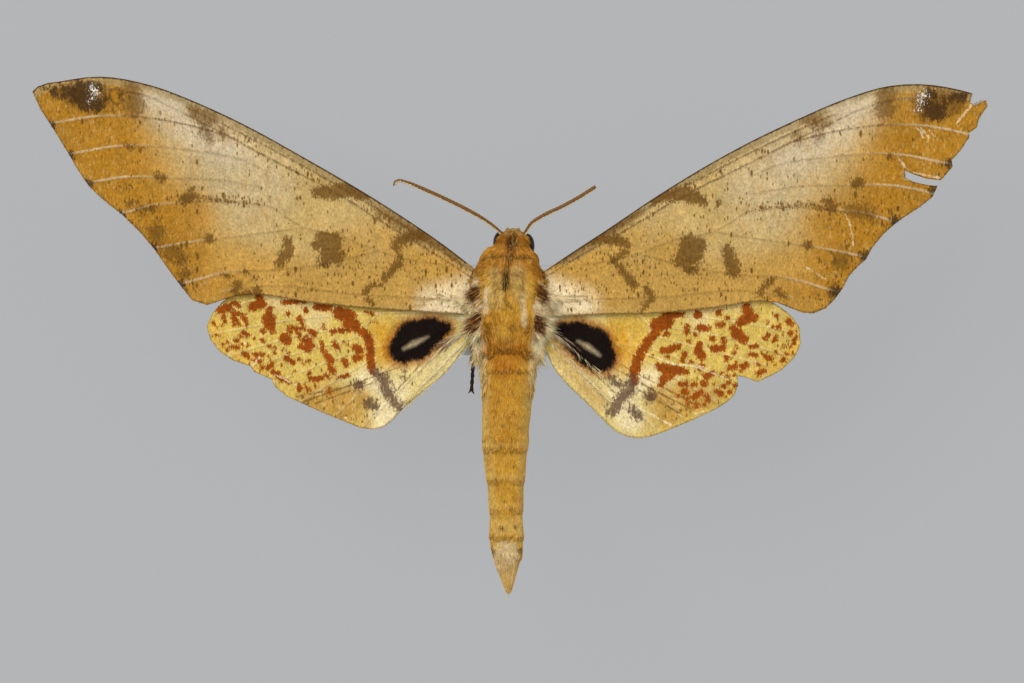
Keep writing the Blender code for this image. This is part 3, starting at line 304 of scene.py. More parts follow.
HINDWING_RIGHT_MARKS = {
    "rust": [
        [(18.0, -5.3, 0.9), (19.0, -4.9, 0.9)], [(19.0, -4.2, 0.55), (21.0, -4.0, 0.3)],
        [(22.8, -4.0, 0.5)],
        [(17.7, -6.2, 0.5), (16.8, -7.3, 0.55), (16.2, -8.3, 0.55), (15.6, -9.3, 0.55),
         (15.3, -10.4, 0.6), (15.1, -11.4, 0.5), (15.2, -12.2, 0.35)],
        [(19.0, -6.3, 0.4)], [(21.5, -5.4, 0.3), (21.4, -6.2, 0.35)],
        [(23.0, -5.6, 0.45), (24.0, -5.7, 0.35)], [(22.5, -6.4, 0.25)], [(25.3, -3.8, 0.35)],
        [(25.2, -5.3, 0.28), (25.8, -5.2, 0.33)], [(26.3, -4.4, 0.28)],
        [(28.6, -3.2, 0.55), (28.9, -4.2, 0.75), (27.9, -5.0, 0.55)], [(29.6, -4.4, 0.5)],
        [(27.0, -5.7, 0.5), (27.6, -6.4, 0.75), (28.3, -7.0, 0.55)], [(24.6, -6.9, 0.35)],
        [(25.8, -6.9, 0.3), (25.9, -7.6, 0.3)], [(24.7, -8.1, 0.45), (25.7, -8.1, 0.4)],
        [(23.0, -7.6, 0.4), (22.8, -8.5, 0.55), (23.3, -9.1, 0.5)], [(21.7, -7.2, 0.28)],
        [(18.5, -8.4, 0.4), (19.3, -8.3, 0.45), (20.4, -7.9, 0.4)], [(19.2, -9.1, 0.28)],
        [(21.2, -8.8, 0.38), (20.9, -9.6, 0.3)], [(22.0, -9.7, 0.22)], [(17.3, -9.0, 0.22)],
        [(26.2, -9.3, 0.38)], [(27.1, -8.7, 0.22)], [(27.4, -7.9, 0.22)],
        [(18.0, -10.1, 0.35), (19.0, -10.7, 0.65), (20.5, -10.7, 0.55), (21.4, -11.0, 0.3)],
        [(18.7, -11.8, 0.55), (18.4, -12.5, 0.35)], [(19.5, -11.5, 0.45)], [(23.2, -10.2, 0.32)],
        [(23.0, -10.6, 0.28)], [(23.8, -11.5, 0.45), (24.6, -11.0, 0.25)], [(23.5, -12.3, 0.45)],
        [(26.5, -10.4, 0.3), (27.2, -10.3, 0.35), (27.3, -9.9, 0.22)],
        [(28.2, -10.3, 0.45), (28.5, -10.1, 0.38)], [(27.9, -10.8, 0.18)],
        [(29.2, -7.9, 0.26), (29.9, -7.8, 0.22)], [(29.0, -8.9, 0.26), (29.7, -8.9, 0.26)],
        [(30.4, -8.7, 0.18)], [(30.9, -9.1, 0.3), (31.6, -9.4, 0.26)], [(30.0, -10.0, 0.22)],
        [(30.0, -11.1, 0.3), (30.6, -10.8, 0.32)], [(31.1, -5.0, 0.22)], [(31.8, -5.5, 0.22)],
        [(32.4, -5.5, 0.36)], [(31.2, -6.4, 0.26), (30.8, -6.9, 0.22)],
        [(32.1, -6.8, 0.3), (31.9, -7.3, 0.26)], [(32.2, -4.2, 0.28)],
        [(33.6, -4.8, 0.4), (34.0, -5.2, 0.32)], [(33.8, -6.3, 0.34)],
        [(34.5, -6.8, 0.22), (34.3, -7.5, 0.22)], [(32.9, -6.4, 0.14)], [(33.0, -7.8, 0.18)],
        [(33.9, -7.9, 0.18)], [(32.2, -8.6, 0.22)], [(33.4, -8.7, 0.22)], [(33.0, -9.5, 0.32)],
        [(34.1, -8.7, 0.18)], [(32.0, -10.0, 0.14)], [(34.6, -6.0, 0.16)],
        [(20.6, -12.4, 0.28), (21.4, -12.3, 0.3)], [(21.3, -13.3, 0.42)], [(20.4, -13.9, 0.22)],
        [(22.3, -12.4, 0.36)], [(22.4, -13.9, 0.42), (23.2, -13.3, 0.28)], [(21.6, -14.1, 0.22)],
        [(23.8, -13.8, 0.28), (24.0, -14.3, 0.28)], [(22.6, -15.0, 0.3)], [(21.6, -14.7, 0.22)],
        [(23.6, -14.9, 0.22)], [(25.0, -13.1, 0.22), (25.5, -13.4, 0.38)], [(25.9, -12.6, 0.32)],
        [(26.5, -12.2, 0.28)], [(26.6, -13.3, 0.32)], [(27.2, -12.6, 0.28)], [(24.7, -12.4, 0.22)],
        [(25.7, -11.1, 0.22)], [(26.3, -11.4, 0.28)], [(27.2, -11.3, 0.22)], [(26.1, -13.9, 0.14)],
    ],
    "mauve": [
        [(14.9, -12.0, 0.5), (14.3, -13.4, 0.6), (13.2, -14.6, 0.6), (12.4, -15.6, 0.5)],
        [(17.1, -13.8, 0.6)], [(14.9, -15.5, 0.4), (15.6, -16.2, 0.45)],
        [(12.0, -11.4, 0.2), (13.4, -12.4, 0.3)],
    ],
    "amber": [[(12.8, -5.2, 0.2), (14.0, -7.6, 0.5), (13.9, -10.2, 0.4)]],
    "worn": [[(5.8, -8.4, 0.3), (8.4, -11.6, 0.7), (11.0, -14.4, 0.5)]],
    "black": [[(6.8, -6.1, 1.1), (8.4, -6.8, 1.95), (10.1, -8.0, 2.45), (11.0, -9.0, 1.95)]],
    "slit": [[(8.4, -7.2, 0.05), (9.6, -7.9, 0.26), (11.0, -8.9, 0.12)]],
    "crease": [
        [(12.4, -10.2, 0.07), (16.5, -12.6, 0.1), (22.0, -15.4, 0.08)],
        [(13.5, -10.0, 0.06), (22.6, -14.9, 0.07)], [(12.0, -11.0, 0.06), (20.5, -15.8, 0.08)],
        [(9.0, -9.8, 0.06), (12.8, -13.4, 0.1)], [(15.6, -11.2, 0.05), (21.5, -14.2, 0.06)],
    ],
    "nick": [
        [(16.3, -8.6, 0.05), (20.0, -10.0, 0.1), (23.6, -10.3, 0.08)],
        [(22.5, -10.3, 0.08), (26.5, -11.8, 0.05)], [(15.6, -15.2, 0.06), (19.6, -17.3, 0.14)],
        [(23.6, -15.6, 0.08), (22.4, -15.9, 0.08)],
    ],
}

# Broad zones of the wings' ground, laid over each other in this order: colour, how softly the zone
# fades in millimetres, its strength, and its marks on the left wing.
FOREWING_ZONES = [
    ("blush", 5.0, 0.95, [
        [(-38.0, 17.0, 2.6), (-30.0, 13.0, 1.8)], [(-42.0, 20.5, 1.0), (-31.0, 15.5, 1.6)],
    ]),
    ("blush", 6.0, 0.6, [[(-37.0, 12.0, 1.5), (-31.0, 10.0, 1.5)]]),
    ("chalk", 3.5, 0.85, [[(-42.5, 21.0, 0.6), (-39.0, 19.6, 1.2), (-33.0, 16.6, 1.0)]]),
    ("tan", 4.0, 0.85, [[(-38.0, 0.0, 3.0), (-22.0, -1.5, 1.8), (-8.0, 0.5, 1.8)], [(-19.0, 3.0, 0.8)]]),
    ("tan", 3.0, 0.7, [[(-14.0, 5.5, 1.0), (-5.0, 1.0, 1.0)]]),
    ("reed", 1.6, 0.55, [[(-38.0, 20.6, 0.2), (-22.0, 12.0, 0.4), (-8.0, 4.0, 0.3)]]),
    ("tan", 7.0, 0.85, [[(-53.0, 20.0, 4.0), (-46.0, 12.0, 3.5), (-41.0, 4.0, 3.5), (-36.0, 0.0, 1.5)]]),
    ("orange", 6.0, 0.95, [[(-54.0, 20.5, 2.2), (-49.0, 15.0, 2.8), (-45.0, 9.0, 1.6), (-41.0, 2.5, 1.6)]]),
    ("orange", 3.5, 0.7, [[(-47.0, 22.0, 0.8), (-47.5, 18.0, 1.5)], [(-41.5, 7.5, 0.8), (-37.5, 8.0, 0.4)]]),
    ("orange", 3.0, 0.5, [[(-38.0, -1.0, 1.2), (-33.0, -1.5, 0.5)], [(-38.0, 3.0, 0.5)]]),
    ("cream", 3.0, 0.8, [[(-9.0, -2.6, 0.2), (-4.5, -2.0, 1.1)]]),
]
HINDWING_ZONES = [
    ("amber", 2.6, 0.45, [[(-14.8, -6.3, 0.6), (-14.4, -9.0, 0.6)]]),
    ("straw", 3.0, 0.7, [[(-11.0, -3.3, 0.4), (-5.0, -3.8, 0.6)]]),
    ("straw", 2.5, 0.9, [[(-19.0, -12.6, 0.4), (-14.0, -12.5, 1.6), (-8.0, -9.5, 0.8)]]),
    ("straw", 3.0, 0.9, [[(-15.0, -16.5, 0.8), (-11.0, -13.0, 1.2), (-7.0, -9.5, 0.9)]]),
    ("cream", 1.8, 0.5, [
        [(-14.6, -16.4, 0.9), (-13.2, -13.4, 0.4)], [(-17.0, -11.6, 0.3), (-15.0, -12.8, 0.3)],
    ]),
    ("cream", 2.0, 0.3, [[(-28.0, -2.2, 0.3), (-21.0, -3.0, 0.1)], [(-23.0, -4.4, 0.5)]]),
    ("tan", 2.0, 0.95, [
        [(-24.0, -14.0, 0.3), (-19.5, -14.8, 1.3)], [(-22.0, -13.6, 0.4), (-18.0, -14.2, 0.4)],
    ]),
    ("amber", 1.6, 0.35, [[(-35.6, -5.0, 0.3), (-34.2, -8.5, 0.3), (-30.0, -10.6, 0.3)]]),
    ("tan", 1.5, 0.5, [[(-19.4, -16.8, 0.3), (-17.4, -17.2, 0.4)]]),
]

# Where the veins show pale, and how thick the single dark scales lie, from the root outwards.
PALE_VEIN_FIELDS = [
    (6.0, 1.0, [[(-55.0, 20.5, 4.0), (-50.0, 13.5, 3.0), (-45.0, 6.5, 2.0), (-38.5, 0.0, 1.5)]]),
]
FLECK_FIELDS = [
    (1.5, 0.04, [[(-50.0, 18.0, 5.0), (-24.0, 6.0, 9.0)]]),
    (3.5, 0.42, [[(-22.0, 1.5, 1.5), (-16.0, 2.5, 2.5), (-9.0, 0.8, 2.6)]]),
    (1.2, 0.9, [[(-15.5, 7.9, 0.5), (-6.0, 2.6, 0.7)]]),
    (0.8, 0.5, [[(-37.0, 19.9, 0.3), (-16.0, 8.8, 0.4)]]),
    (2.0, 0.12, [[(-30.0, 6.0, 0.8), (-24.0, 8.5, 0.8)], [(-33.0, 15.0, 0.4), (-26.0, 12.0, 0.6)]]),
    (2.2, 0.55, [[(-45.5, 9.0, 0.8), (-40.5, 3.0, 1.4), (-38.0, -0.6, 0.8)]]),
    (2.0, 0.3, [[(-24.0, -0.8, 0.4), (-31.0, 0.2, 0.8)], [(-42.0, 9.5, 0.5), (-38.0, 8.2, 0.6)]]),
    (0.5, 1.0, [[(-41.0, 10.0, 0.15), (-34.0, 9.8, 0.25), (-28.8, 9.5, 0.25)]]),
    (1.2, 0.14, [[(-44.0, 16.2, 0.5), (-38.0, 15.2, 0.4)], [(-46.0, 18.7, 0.3), (-38.0, 18.4, 0.3)]]),
]
HIND_FLECK_FIELDS = [
    (1.0, 0.75, [[(-24.4, -13.9, 0.2), (-20.5, -15.4, 0.5)]]),
    (1.2, 0.3, [[(-34.5, -6.5, 0.4), (-30.0, -10.4, 0.3), (-26.0, -12.8, 0.3)], [(-18.0, -16.0, 0.5)]]),
    (2.0, 0.08, [[(-30.0, -6.0, 3.0), (-16.0, -11.0, 4.0)]]),
]

# Flecks are longer than wide, and lie in clumps of this size.
FLECK_STRETCH = 0.42
CLUMP_SIZE = 1.8

# Noise strays about this far from its middle.
NOISE_STRAY = 0.15

# The wings' grain: sizes, and how far each lightens and darkens. One scale is about 0.1 mm long, so the
# finest grain is drawn twice as coarse to show.
SCALE_GRAIN = [(0.2, 0.24), (0.6, 0.13), (3.2, 0.08)]

# The body's markings, seen from above, in the order in which they cover each other.
BODY_ZONES = [
    ("russet", 1.6, 0.8, [
        [(0.6, 5.6, 1.0), (0.5, 3.4, 2.4)], [(-3.4, 2.2, 0.5)], [(3.8, 1.6, 0.7), (3.0, 2.6, 0.5)],
    ]),
    ("russet", 1.2, 0.5, [
        [(-1.8, -4.8, 0.5), (-2.2, -6.4, 0.4)], [(1.0, -6.0, 0.6)], [(0.0, 1.6, 0.3), (0.0, 2.8, 0.3)],
    ]),
    ("rust", 1.4, 0.3, [[(0.6, 4.8, 1.3)]]),
    ("straw", 0.9, 0.35, [[(-0.5, 6.3, 0.2), (1.6, 6.4, 0.3)]]),
    ("straw", 1.0, 0.5, [[(1.2, 0.9, 0.5), (1.5, -1.6, 0.6)], [(-1.6, 0.8, 0.4), (-1.7, -2.4, 0.6)]]),
    ("cream", 1.1, 0.95, [[(-4.6, -0.4, 0.6), (-5.0, -4.0, 1.1), (-5.0, -9.0, 1.2)]]),
    ("cream", 1.1, 0.95, [[(4.8, -0.9, 0.5), (5.0, -4.0, 1.1), (4.7, -8.0, 0.9)]]),
    ("cream", 1.0, 0.8, [[(-3.9, -7.5, 0.5), (-3.7, -12.5, 0.4)], [(3.9, -7.0, 0.5), (3.6, -12.0, 0.4)]]),
    ("plum", 0.4, 1.0, [[(-4.2, -1.3, 0.5), (-4.4, -1.9, 0.55)], [(-4.1, -4.4, 0.4), (-4.3, -5.6, 0.5)]]),
    ("plum", 0.4, 1.0, [[(4.0, -1.0, 0.35), (4.5, -2.2, 0.45)], [(3.9, -4.8, 0.4), (3.8, -5.8, 0.4)]]),
    ("cream", 0.4, 0.8, [[(-2.6, -1.2, 0.05), (-2.7, -3.8, 0.12)], [(1.8, -1.8, 0.05), (2.0, -5.2, 0.15)]]),
    ("flame", 1.6, 0.8, [[(-1.7, -8.6, 0.7), (1.2, -8.6, 0.7)], [(-0.6, -10.2, 0.9)]]),
    ("flame", 2.0, 0.3, [[(-0.4, -12.5, 1.0), (-0.6, -19.0, 0.9)]]),
    ("straw", 1.2, 0.5, [[(-3.5, -9.5, 0.4), (-3.4, -14.5, 0.4)], [(3.4, -10.0, 0.3), (2.9, -15.0, 0.3)]]),
    ("honey", 1.0, 0.5, [[(-3.0, -16.0, 0.2), (-2.2, -24.0, 0.2), (-1.9, -31.0, 0.2)]]),
    ("honey", 1.0, 0.5, [[(2.7, -16.0, 0.3), (1.9, -24.0, 0.3), (1.6, -31.0, 0.2)]]),
    ("honey", 1.0, 0.6, [[(-1.2, -29.6, 0.3), (1.0, -29.4, 0.4)]]),
    ("honey", 1.2, 0.8, [[(-0.2, -32.9, 1.2), (-0.2, -34.4, 0.9)]]),
    ("cream", 1.2, 0.65, [[(-0.2, -32.9, 0.9), (-0.2, -34.2, 0.7)]]),
    ("reed", 0.8, 0.6, [[(-0.2, -36.0, 0.7), (0.1, -38.2, 0.5)]]),
    ("plum", 0.6, 0.8, [[(0.55, 5.3, 0.25), (0.4, 4.4, 0.45), (0.25, 3.1, 0.2)]]),
    ("umber", 0.4, 0.8, [[(0.5, 4.9, 0.15), (0.4, 4.0, 0.2)]]),
    ("umber", 0.35, 0.6, [
        [(-3.0, 2.6, 0.05), (-1.2, 2.9, 0.08), (0.2, 2.6, 0.08), (1.8, 2.9, 0.08), (3.2, 2.5, 0.05)],
    ]),
    ("plum", 0.4, 0.5, [[(0.15, 2.6, 0.16), (-0.2, 1.1, 0.12)], [(-0.3, -0.9, 0.08), (-0.3, -2.6, 0.05)]]),
    ("umber", 0.4, 0.5, [[(0.1, -3.1, 0.15)], [(0.5, -5.8, 0.22)], [(-0.9, -7.3, 0.1), (0.5, -7.4, 0.1)]]),
    ("umber", 0.35, 0.8, [
        [(-2.0, -32.7, 0.2)], [(1.5, -32.6, 0.2)], [(-0.8, -29.9, 0.1)], [(0.9, -29.7, 0.08)],
    ]),
    ("umber", 0.3, 0.55, [
        [(1.3, -34.4, 0.15)], [(-1.1, -14.4, 0.08)], [(-0.7, -17.6, 0.08)], [(-0.9, -19.9, 0.12)],
    ]),
    ("umber", 0.3, 0.45, [
        [(0.6, -16.0, 0.06)], [(0.7, -22.4, 0.06)], [(-0.4, -26.6, 0.06)], [(0.1, -25.2, 0.06)],
    ]),
    # A black spot on the back of the thorax where the pin's hole is: painted shade of a hole that the skin
    # doesn't have.
    ("black", 0.4, 0.95, [[(-0.32, 0.9, 0.18), (-0.32, -0.3, 0.34), (-0.3, -0.9, 0.2)]]),
]

# Edges of the abdomen's segments: place along the body and strength. Each is a thin dark line with a
# broader pale band in front of it, and they waver by this much.
SEGMENT_EDGES = [(-16.7, 0.1), (-20.2, 0.6), (-24.1, 0.75), (-27.7, 0.65), (-30.8, 0.6)]
EDGE_LINE = 0.11
EDGE_BAND = 0.26
EDGE_BAND_AHEAD = 0.45
EDGE_WAVER = 0.12

# The first segments' edges lie hidden under the coat between these places.
PLAIN_SEGMENTS = (-18.6, -11.5)
TAIL_TIP = (0.1, -37.9, -0.8)

# Half the width of the body under the side hair, at places along it.
SIDE_STOPS = [(-2.0, 4.3), (-4.0, 4.1), (-7.0, 3.8), (-9.0, 3.5), (-12.0, 3.2)]

# The brow over the eyes and the collar behind them: middle above the body's axis, and half sizes.
SWELLINGS = [
    ((0.6, 4.3, 0.85), (2.15, 2.05, 1.5)),
    ((0.15, 2.5, 1.2), (3.65, 2.0, 1.9)),
    ((0.58, 5.65, 0.35), (0.95, 0.85, 0.95)),
]

# The body's skin: the solids swell to close their gaps, are cut into cells and smoothed, and sink back
# below their first surface.
SKIN_NODES = [
    "head", "thorax", "tegula_left", "tegula_right", "abdomen", "tail_tuft", "palp_left", "palp_right",
]
SKIN_SWELL = 0.2
SKIN_CELL = 0.2
SKIN_SINK = 0.12
SKIN_SMOOTHING = 16
PLAIN_SMOOTHING = 50
# The skin is painted darker than its coat: painted shade where it shows between the tufts.
SKIN_PAINTED_SHADE = 0.8

# The hair parts over this half width along the back, lies outwards between two places at the shoulders,
# and parts again along the head's crest.
PARTING = 1.2
SHOULDERS = (-2.2, 3.4)
CREST_FROM = 3.2
CREST_MIDDLE = 0.65

# The face below the brow, and the sides of head and collar.
FACE_FROM = 5.7
FACE_TOP = 1.3
HEAD_MIDDLE = 0.3
CHEEKS_OUT = 1.6
CHEEKS_FROM = 2.4
CHEEKS_TO = 5.0

# Pieces of the coat: both ends of its part of the body, how far out and how high over the axis it begins,
# its share of a full piece's tufts, their length, their lift off the skin and the seed of the lots.
COAT_PIECES = [
    ("coat_head", (2.9, FAR, 0.0, -FAR), 2 / 3, 0.95, 0.22, 11),
    ("coat_thorax_a", (-8.2, 2.9, 0.0, -FAR), 1.0, 0.95, 0.2, 12),
    ("coat_thorax_b", (-8.2, 2.9, 0.0, -FAR), 1.0, 1.15, 0.24, 13),
    ("coat_abdomen_a", (-35.5, -8.2, 0.0, -FAR), 1.0, 0.7, 0.15, 14),
    ("coat_abdomen_b", (-35.5, -8.2, 0.0, -FAR), 1.0, 0.85, 0.18, 15),
    ("coat_side", (-8.8, 1.2, 2.9, 0.4), 1 / 2, 2.4, 0.26, 16),
    ("coat_flank", (-12.5, -7.0, 2.4, -1.0), 1 / 8, 2.0, 0.3, 18),
    ("coat_tail", (-36.5, -33.4, 0.0, -FAR), 1 / 6, 3.0, 0.1, 17),
]

# A tuft is a three-sided spike: fuller at this share of its length, half as thick as wide, and painted darker
# at its root and lighter towards its point, as painted shade deep in the coat and painted light on its point.
TUFT_BELLY_AT = 0.55
TUFT_BELLY = 1.9
TUFT_FLATNESS = 0.5
TUFT_ROOT_PAINTED_SHADE = 0.64
TUFT_POINT_PAINTED_LIGHT = 0.64
# At its point it bends back to the skin by this share of its length, or by less where it is straight.
TUFT_PRESS = 0.25
STRAIGHT_PRESS = 0.03
TUFT_STRAY = 0.14

# The map for the bake: sizes of a tuft's patch and of the whole chart in the unit square.
BAKE_PATCH = 0.003
CHART_SIZE = 0.94

# Long hair on the left wings: middle line of the field from the body out, number, the way it lies,
# length, width, colours at both ends of the line, and how far its wing lies below the forewing.
ROOT_HAIR = [
    ([(-3.8, -1.8, 0.9), (-6.5, -2.1, 1.1), (-9.5, -2.5, 0.5)],
     1500, (-1.0, -0.08, 0.0), 1.7, 0.05, "cream", "buff", 0.0),
    ([(-3.6, 1.3, 0.2), (-3.9, 0.2, 0.3), (-4.0, -0.8, 0.3)],
     700, (-1.0, -0.3, 0.0), 0.8, 0.05, "brown", "tan", 0.0),
    ([(-4.4, -4.1, 0.5), (-6.0, -4.4, 0.5)],
     600, (-1.0, -0.25, 0.0), 1.3, 0.06, "cream", "straw", HINDWING_DROP),
    ([(-5.0, -7.0, 0.9), (-8.2, -9.8, 1.4), (-12.0, -13.6, 1.2)],
     3200, (-0.78, -0.9, 0.0), 1.1, 0.045, "cream", "straw", HINDWING_DROP),
    ([(-5.0, -5.6, 0.5), (-7.4, -7.4, 0.4)],
     800, (-0.85, -0.7, 0.0), 1.7, 0.04, "cream", "mauve", HINDWING_DROP),
]
LOTS_AT_ONCE = 400

# The fringe begins this far from the middle, one scale to each step along the edge, set in a little.
FRINGE_FROM = 6.0
FRINGE_STEP = 0.06
FRINGE_DEPTH = 0.25
FRINGE_INSET = 0.1
VEIN_TIP_REACH = 0.45

# The legs' scales are shorter and darker below the knees, and the hind feet lie behind this place.
LEG_CELL = 0.09
LEG_TUFTS = 1500
LEG_TUFT_WIDTH = 0.08
KNEE_DEPTH = 8.5
HIND_FEET = -8.5
TONGUE_CELL = 0.06

# An antenna's shaft is built in rings this far apart, with comb scales on each.
ANTENNA_STEP = 0.22
ANTENNA_SIDES = 10
COMB_A_RING = 8
COMB_WIDTH = 0.1
EYE_FACET = 0.11
STAND_EDGE = 0.8

# Lamps over the model, in metres: place, size and share of the key light's power.
LAMPS = [("key", (-0.35, 0.28, 0.75), 0.5, 1.0), ("side", (0.55, 0.1, 0.6), 0.6, 0.35)]
LAMPS_AIM = (0.0, 0.0, 0.02)

FEELER_PATHS = {
    "antenna_left": [
        (-0.3, 5.3, 1.0), (-1.2, 6.2, 1.6), (-2.6, 7.25, 1.9), (-4.4, 8.3, 2.1), (-7.4, 9.8, 2.3),
        (-10.4, 11.15, 2.4), (-12.2, 11.9, 2.4), (-13.15, 12.1, 2.3), (-13.6, 11.9, 2.2),
        (-13.7, 11.4, 2.1),
    ],
    "antenna_right": [
        (1.6, 5.2, 1.0), (2.15, 6.05, 1.6), (2.7, 6.85, 1.8), (4.1, 7.8, 2.0), (6.5, 8.95, 2.2),
        (8.5, 10.05, 2.3), (10.5, 11.3, 2.3),
    ],
}

# Which input and output of a colour Mix node is which.
MIX_A = 6
MIX_B = 7
MIX_RESULT = 2


def linear(colour):
    """An sRGB hex colour as linear red, green and blue."""
    values = [int(colour[i:i + 2], 16) / 255 for i in (1, 3, 5)]
    return tuple(v / 12.92 if v <= 0.04045 else ((v + 0.055) / 1.055) ** 2.4 for v in values)


def paint(name):
    """A colour of the palette as the panel has it now."""
    return tuple(getattr(bpy.context.scene.hawkmoth_colours, name))


def add_node(tree, kind, values=None, links=None):
    """Adds a node, sets its properties and inputs, and links sockets into it."""
    node = tree.nodes.new(kind)
    for key, value in (values or {}).items():
        if isinstance(key, str) and key in node.bl_rna.properties:
            setattr(node, key, value)
        else:
            node.inputs[key].default_value = value
    for key, source in (links or {}).items():
        tree.links.new(source, node.inputs[key])
    return node


def new_material(name):
    """An empty Principled material: its tree, shader and object coordinates."""
    made = bpy.data.materials.new(name)
    made.use_nodes = True
    tree = made.node_tree
    shader = tree.nodes["Principled BSDF"]
    place = add_node(tree, "ShaderNodeTexCoord").outputs["Object"]
    return made, tree, shader, place


def new_piece(name, mesh, finish, nodes):
    """Puts a finished mesh in the scene, riding with the model and standing for its solids."""
    mesh.name = name
    piece = bpy.data.objects.new(name, mesh)
    bpy.context.scene.collection.objects.link(piece)
    mesh.materials.clear()
    mesh.materials.append(finish)
    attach(piece, "root")
    if nodes:
        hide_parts(*nodes)
    return piece


def merged_copy(*nodes):
    """The solids of some nodes as one mesh whose triangles share their corners."""
    bm = bmesh.new()
    for node in nodes:
        bm.from_mesh(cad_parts[node].data)
    bmesh.ops.remove_doubles(bm, verts=bm.verts, dist=1e-7)
    return bm


def as_mesh(bm, name):
    """Turns a bmesh into smooth-shaded mesh data."""
    mesh = bpy.data.meshes.new(name)
    bm.to_mesh(mesh)
    bm.free()
    mesh.shade_smooth()
    return mesh


def with_modifiers(mesh, modifiers):
    """The mesh after a list of (type, settings) modifiers."""
    holder = bpy.data.objects.new("holder", mesh)
    bpy.context.scene.collection.objects.link(holder)
    for kind, values in modifiers:
        modifier = holder.modifiers.new(kind.lower(), kind)
        for key, value in values.items():
            setattr(modifier, key, value)
    graph = bpy.context.evaluated_depsgraph_get()
    result = bpy.data.meshes.new_from_object(holder.evaluated_get(graph))
    bpy.data.objects.remove(holder)
    result.shade_smooth()
    return result


def resurfaced(node, cell, rounds):
    """A node's solid as one closed skin of small cells in millimetres, smoothed in some rounds."""
    return with_modifiers(as_mesh(merged_copy(node), node), [
        ("REMESH", {"mode": "VOXEL", "voxel_size": cell * MM}),
        ("SMOOTH", {"factor": 0.5, "iterations": rounds}),
    ])


def smooth_curve(points, step):
    """Points about a step apart on one smooth curve through the given ones, both ends included."""
    points = [Vector(point) for point in points]
    spans = [(b - a).length for a, b in zip(points, points[1:])]
    chords = [(b - a) / span for a, b, span in zip(points, points[1:], spans)]
    slopes = [chords[0]]
    for i in range(1, len(chords)):
        mixed = chords[i - 1] * spans[i] + chords[i] * spans[i - 1]
        slopes.append(mixed / (spans[i - 1] + spans[i]))
    slopes.append(chords[-1])
    curve = []
    for i, span in enumerate(spans):
        count = max(1, round(span / step))
        for k in range(count):
            t = k / count
            start = points[i] * (2 * t**3 - 3 * t**2 + 1)
            leave = slopes[i] * span * (t**3 - 2 * t**2 + t)
            end = points[i + 1] * (3 * t**2 - 2 * t**3)
            arrive = slopes[i + 1] * span * (t**3 - t**2)
            curve.append(start + leave + end + arrive)
    return curve + [points[-1]]


def inside(places, marks):
    """How deep each place, in millimetres, lies inside the nearest mark. Outside is below zero."""
    best = np.full(len(places), -FAR)
    for mark in marks:
        chain = mark if len(mark) > 1 else mark * 2
        for (ax, ay, ar), (bx, by, br) in zip(chain, chain[1:]):
            run = np.array((bx - ax, by - ay))
            share = np.clip((places - (ax, ay)) @ run / max(run @ run, 1e-9), 0, 1)
            away = np.linalg.norm(places - (ax, ay) - share[:, None] * run, axis=1)
            best = np.maximum(best, ar + (br - ar) * share - away)
    return best


def zoned_colour(places, base, zones):
    """The palette's base colour with soft zones of other colours laid over it."""
    colour = np.tile(np.array(paint(base)), (len(places), 1))
    for name, softness, strength, marks in zones:
        share = np.clip(1 + inside(places, marks) / softness, 0, 1)
        share = (share * share * (3 - 2 * share) * strength)[:, None]
        colour = colour * (1 - share) + np.array(paint(name)) * share
    return colour


def mirrored(marks, turn=0.0):
    """Marks of the left side as the right side has them, turned about the wing's root."""
    c, s = math.cos(turn), math.sin(turn)
    result = []
    for mark in marks:
        flipped = [(-x - WING_ROOT_X, y, r) for x, y, r in mark]
        result.append([(WING_ROOT_X + x * c - y * s, x * s + y * c, r) for x, y, r in flipped])
    return result


def store(mesh, name, values):
    """Keeps a number or a colour for each point of a mesh."""
    if values.ndim == 1:
        mesh.attributes.new(name, "FLOAT", "POINT").data.foreach_set("value", values.astype(np.float32))
        return
    rows = np.ones((len(values), 4), dtype=np.float32)
    rows[:, :3] = values
    mesh.attributes.new(name, "FLOAT_COLOR", "POINT").data.foreach_set("color", rows.ravel())


def places_of(mesh):
    """The points of a mesh in millimetres."""
    flat = np.empty(len(mesh.vertices) * 3)
    mesh.vertices.foreach_get("co", flat)
    return flat.reshape(-1, 3) / MM


def wing_sheet(node, spacing):
    """The upper face of a wing's solid, split into edges no longer than the spacing."""
    bm = merged_copy(node)
    under = [face for face in bm.faces if face.normal.z < LEAST_UPWARD]
    bmesh.ops.delete(bm, geom=under, context="FACES")
    rim = [[(v.co.x / MM, v.co.y / MM, 0.0) for v in e.verts] for e in bm.edges if e.is_boundary]
    for _ in range(MOST_SPLITS):
        long_edges = [edge for edge in bm.edges if edge.calc_length() > spacing]
        if not long_edges:
            break
        bmesh.ops.subdivide_edges(bm, edges=long_edges, cuts=1)
        bmesh.ops.triangulate(bm, faces=bm.faces, quad_method="BEAUTY", ngon_method="BEAUTY")
    return bm, rim


def wing_height(x, y, drop, away):
    """Height of a membrane: it rises and arches from the root, stands up at veins and sags between."""
    out = max(0.0, abs(x) - WING_ROOT_X)
    vein = VEIN_RISE * math.exp(-(away / VEIN_REACH) ** 2)
    sag = CELL_SAG * (1 - math.exp(-(away / CELL_REACH) ** 2))
    wave = WAVE_HEIGHT * noise.noise(Vector((x, y, 3.0 + drop)) * WAVE_DENSITY)
    level = BODY_Z + FOREWING_Z - drop + WING_RISE * out - WING_ARCH * out**2
    return level + vein - sag + wave


def field(places, fields):
    """The strongest of some soft fields at each place."""
    best = np.zeros(len(places))
    for softness, strength, marks in fields:
        share = np.clip(1 + inside(places, marks) / softness, 0, 1)
        best = np.maximum(best, share * strength)
    return best


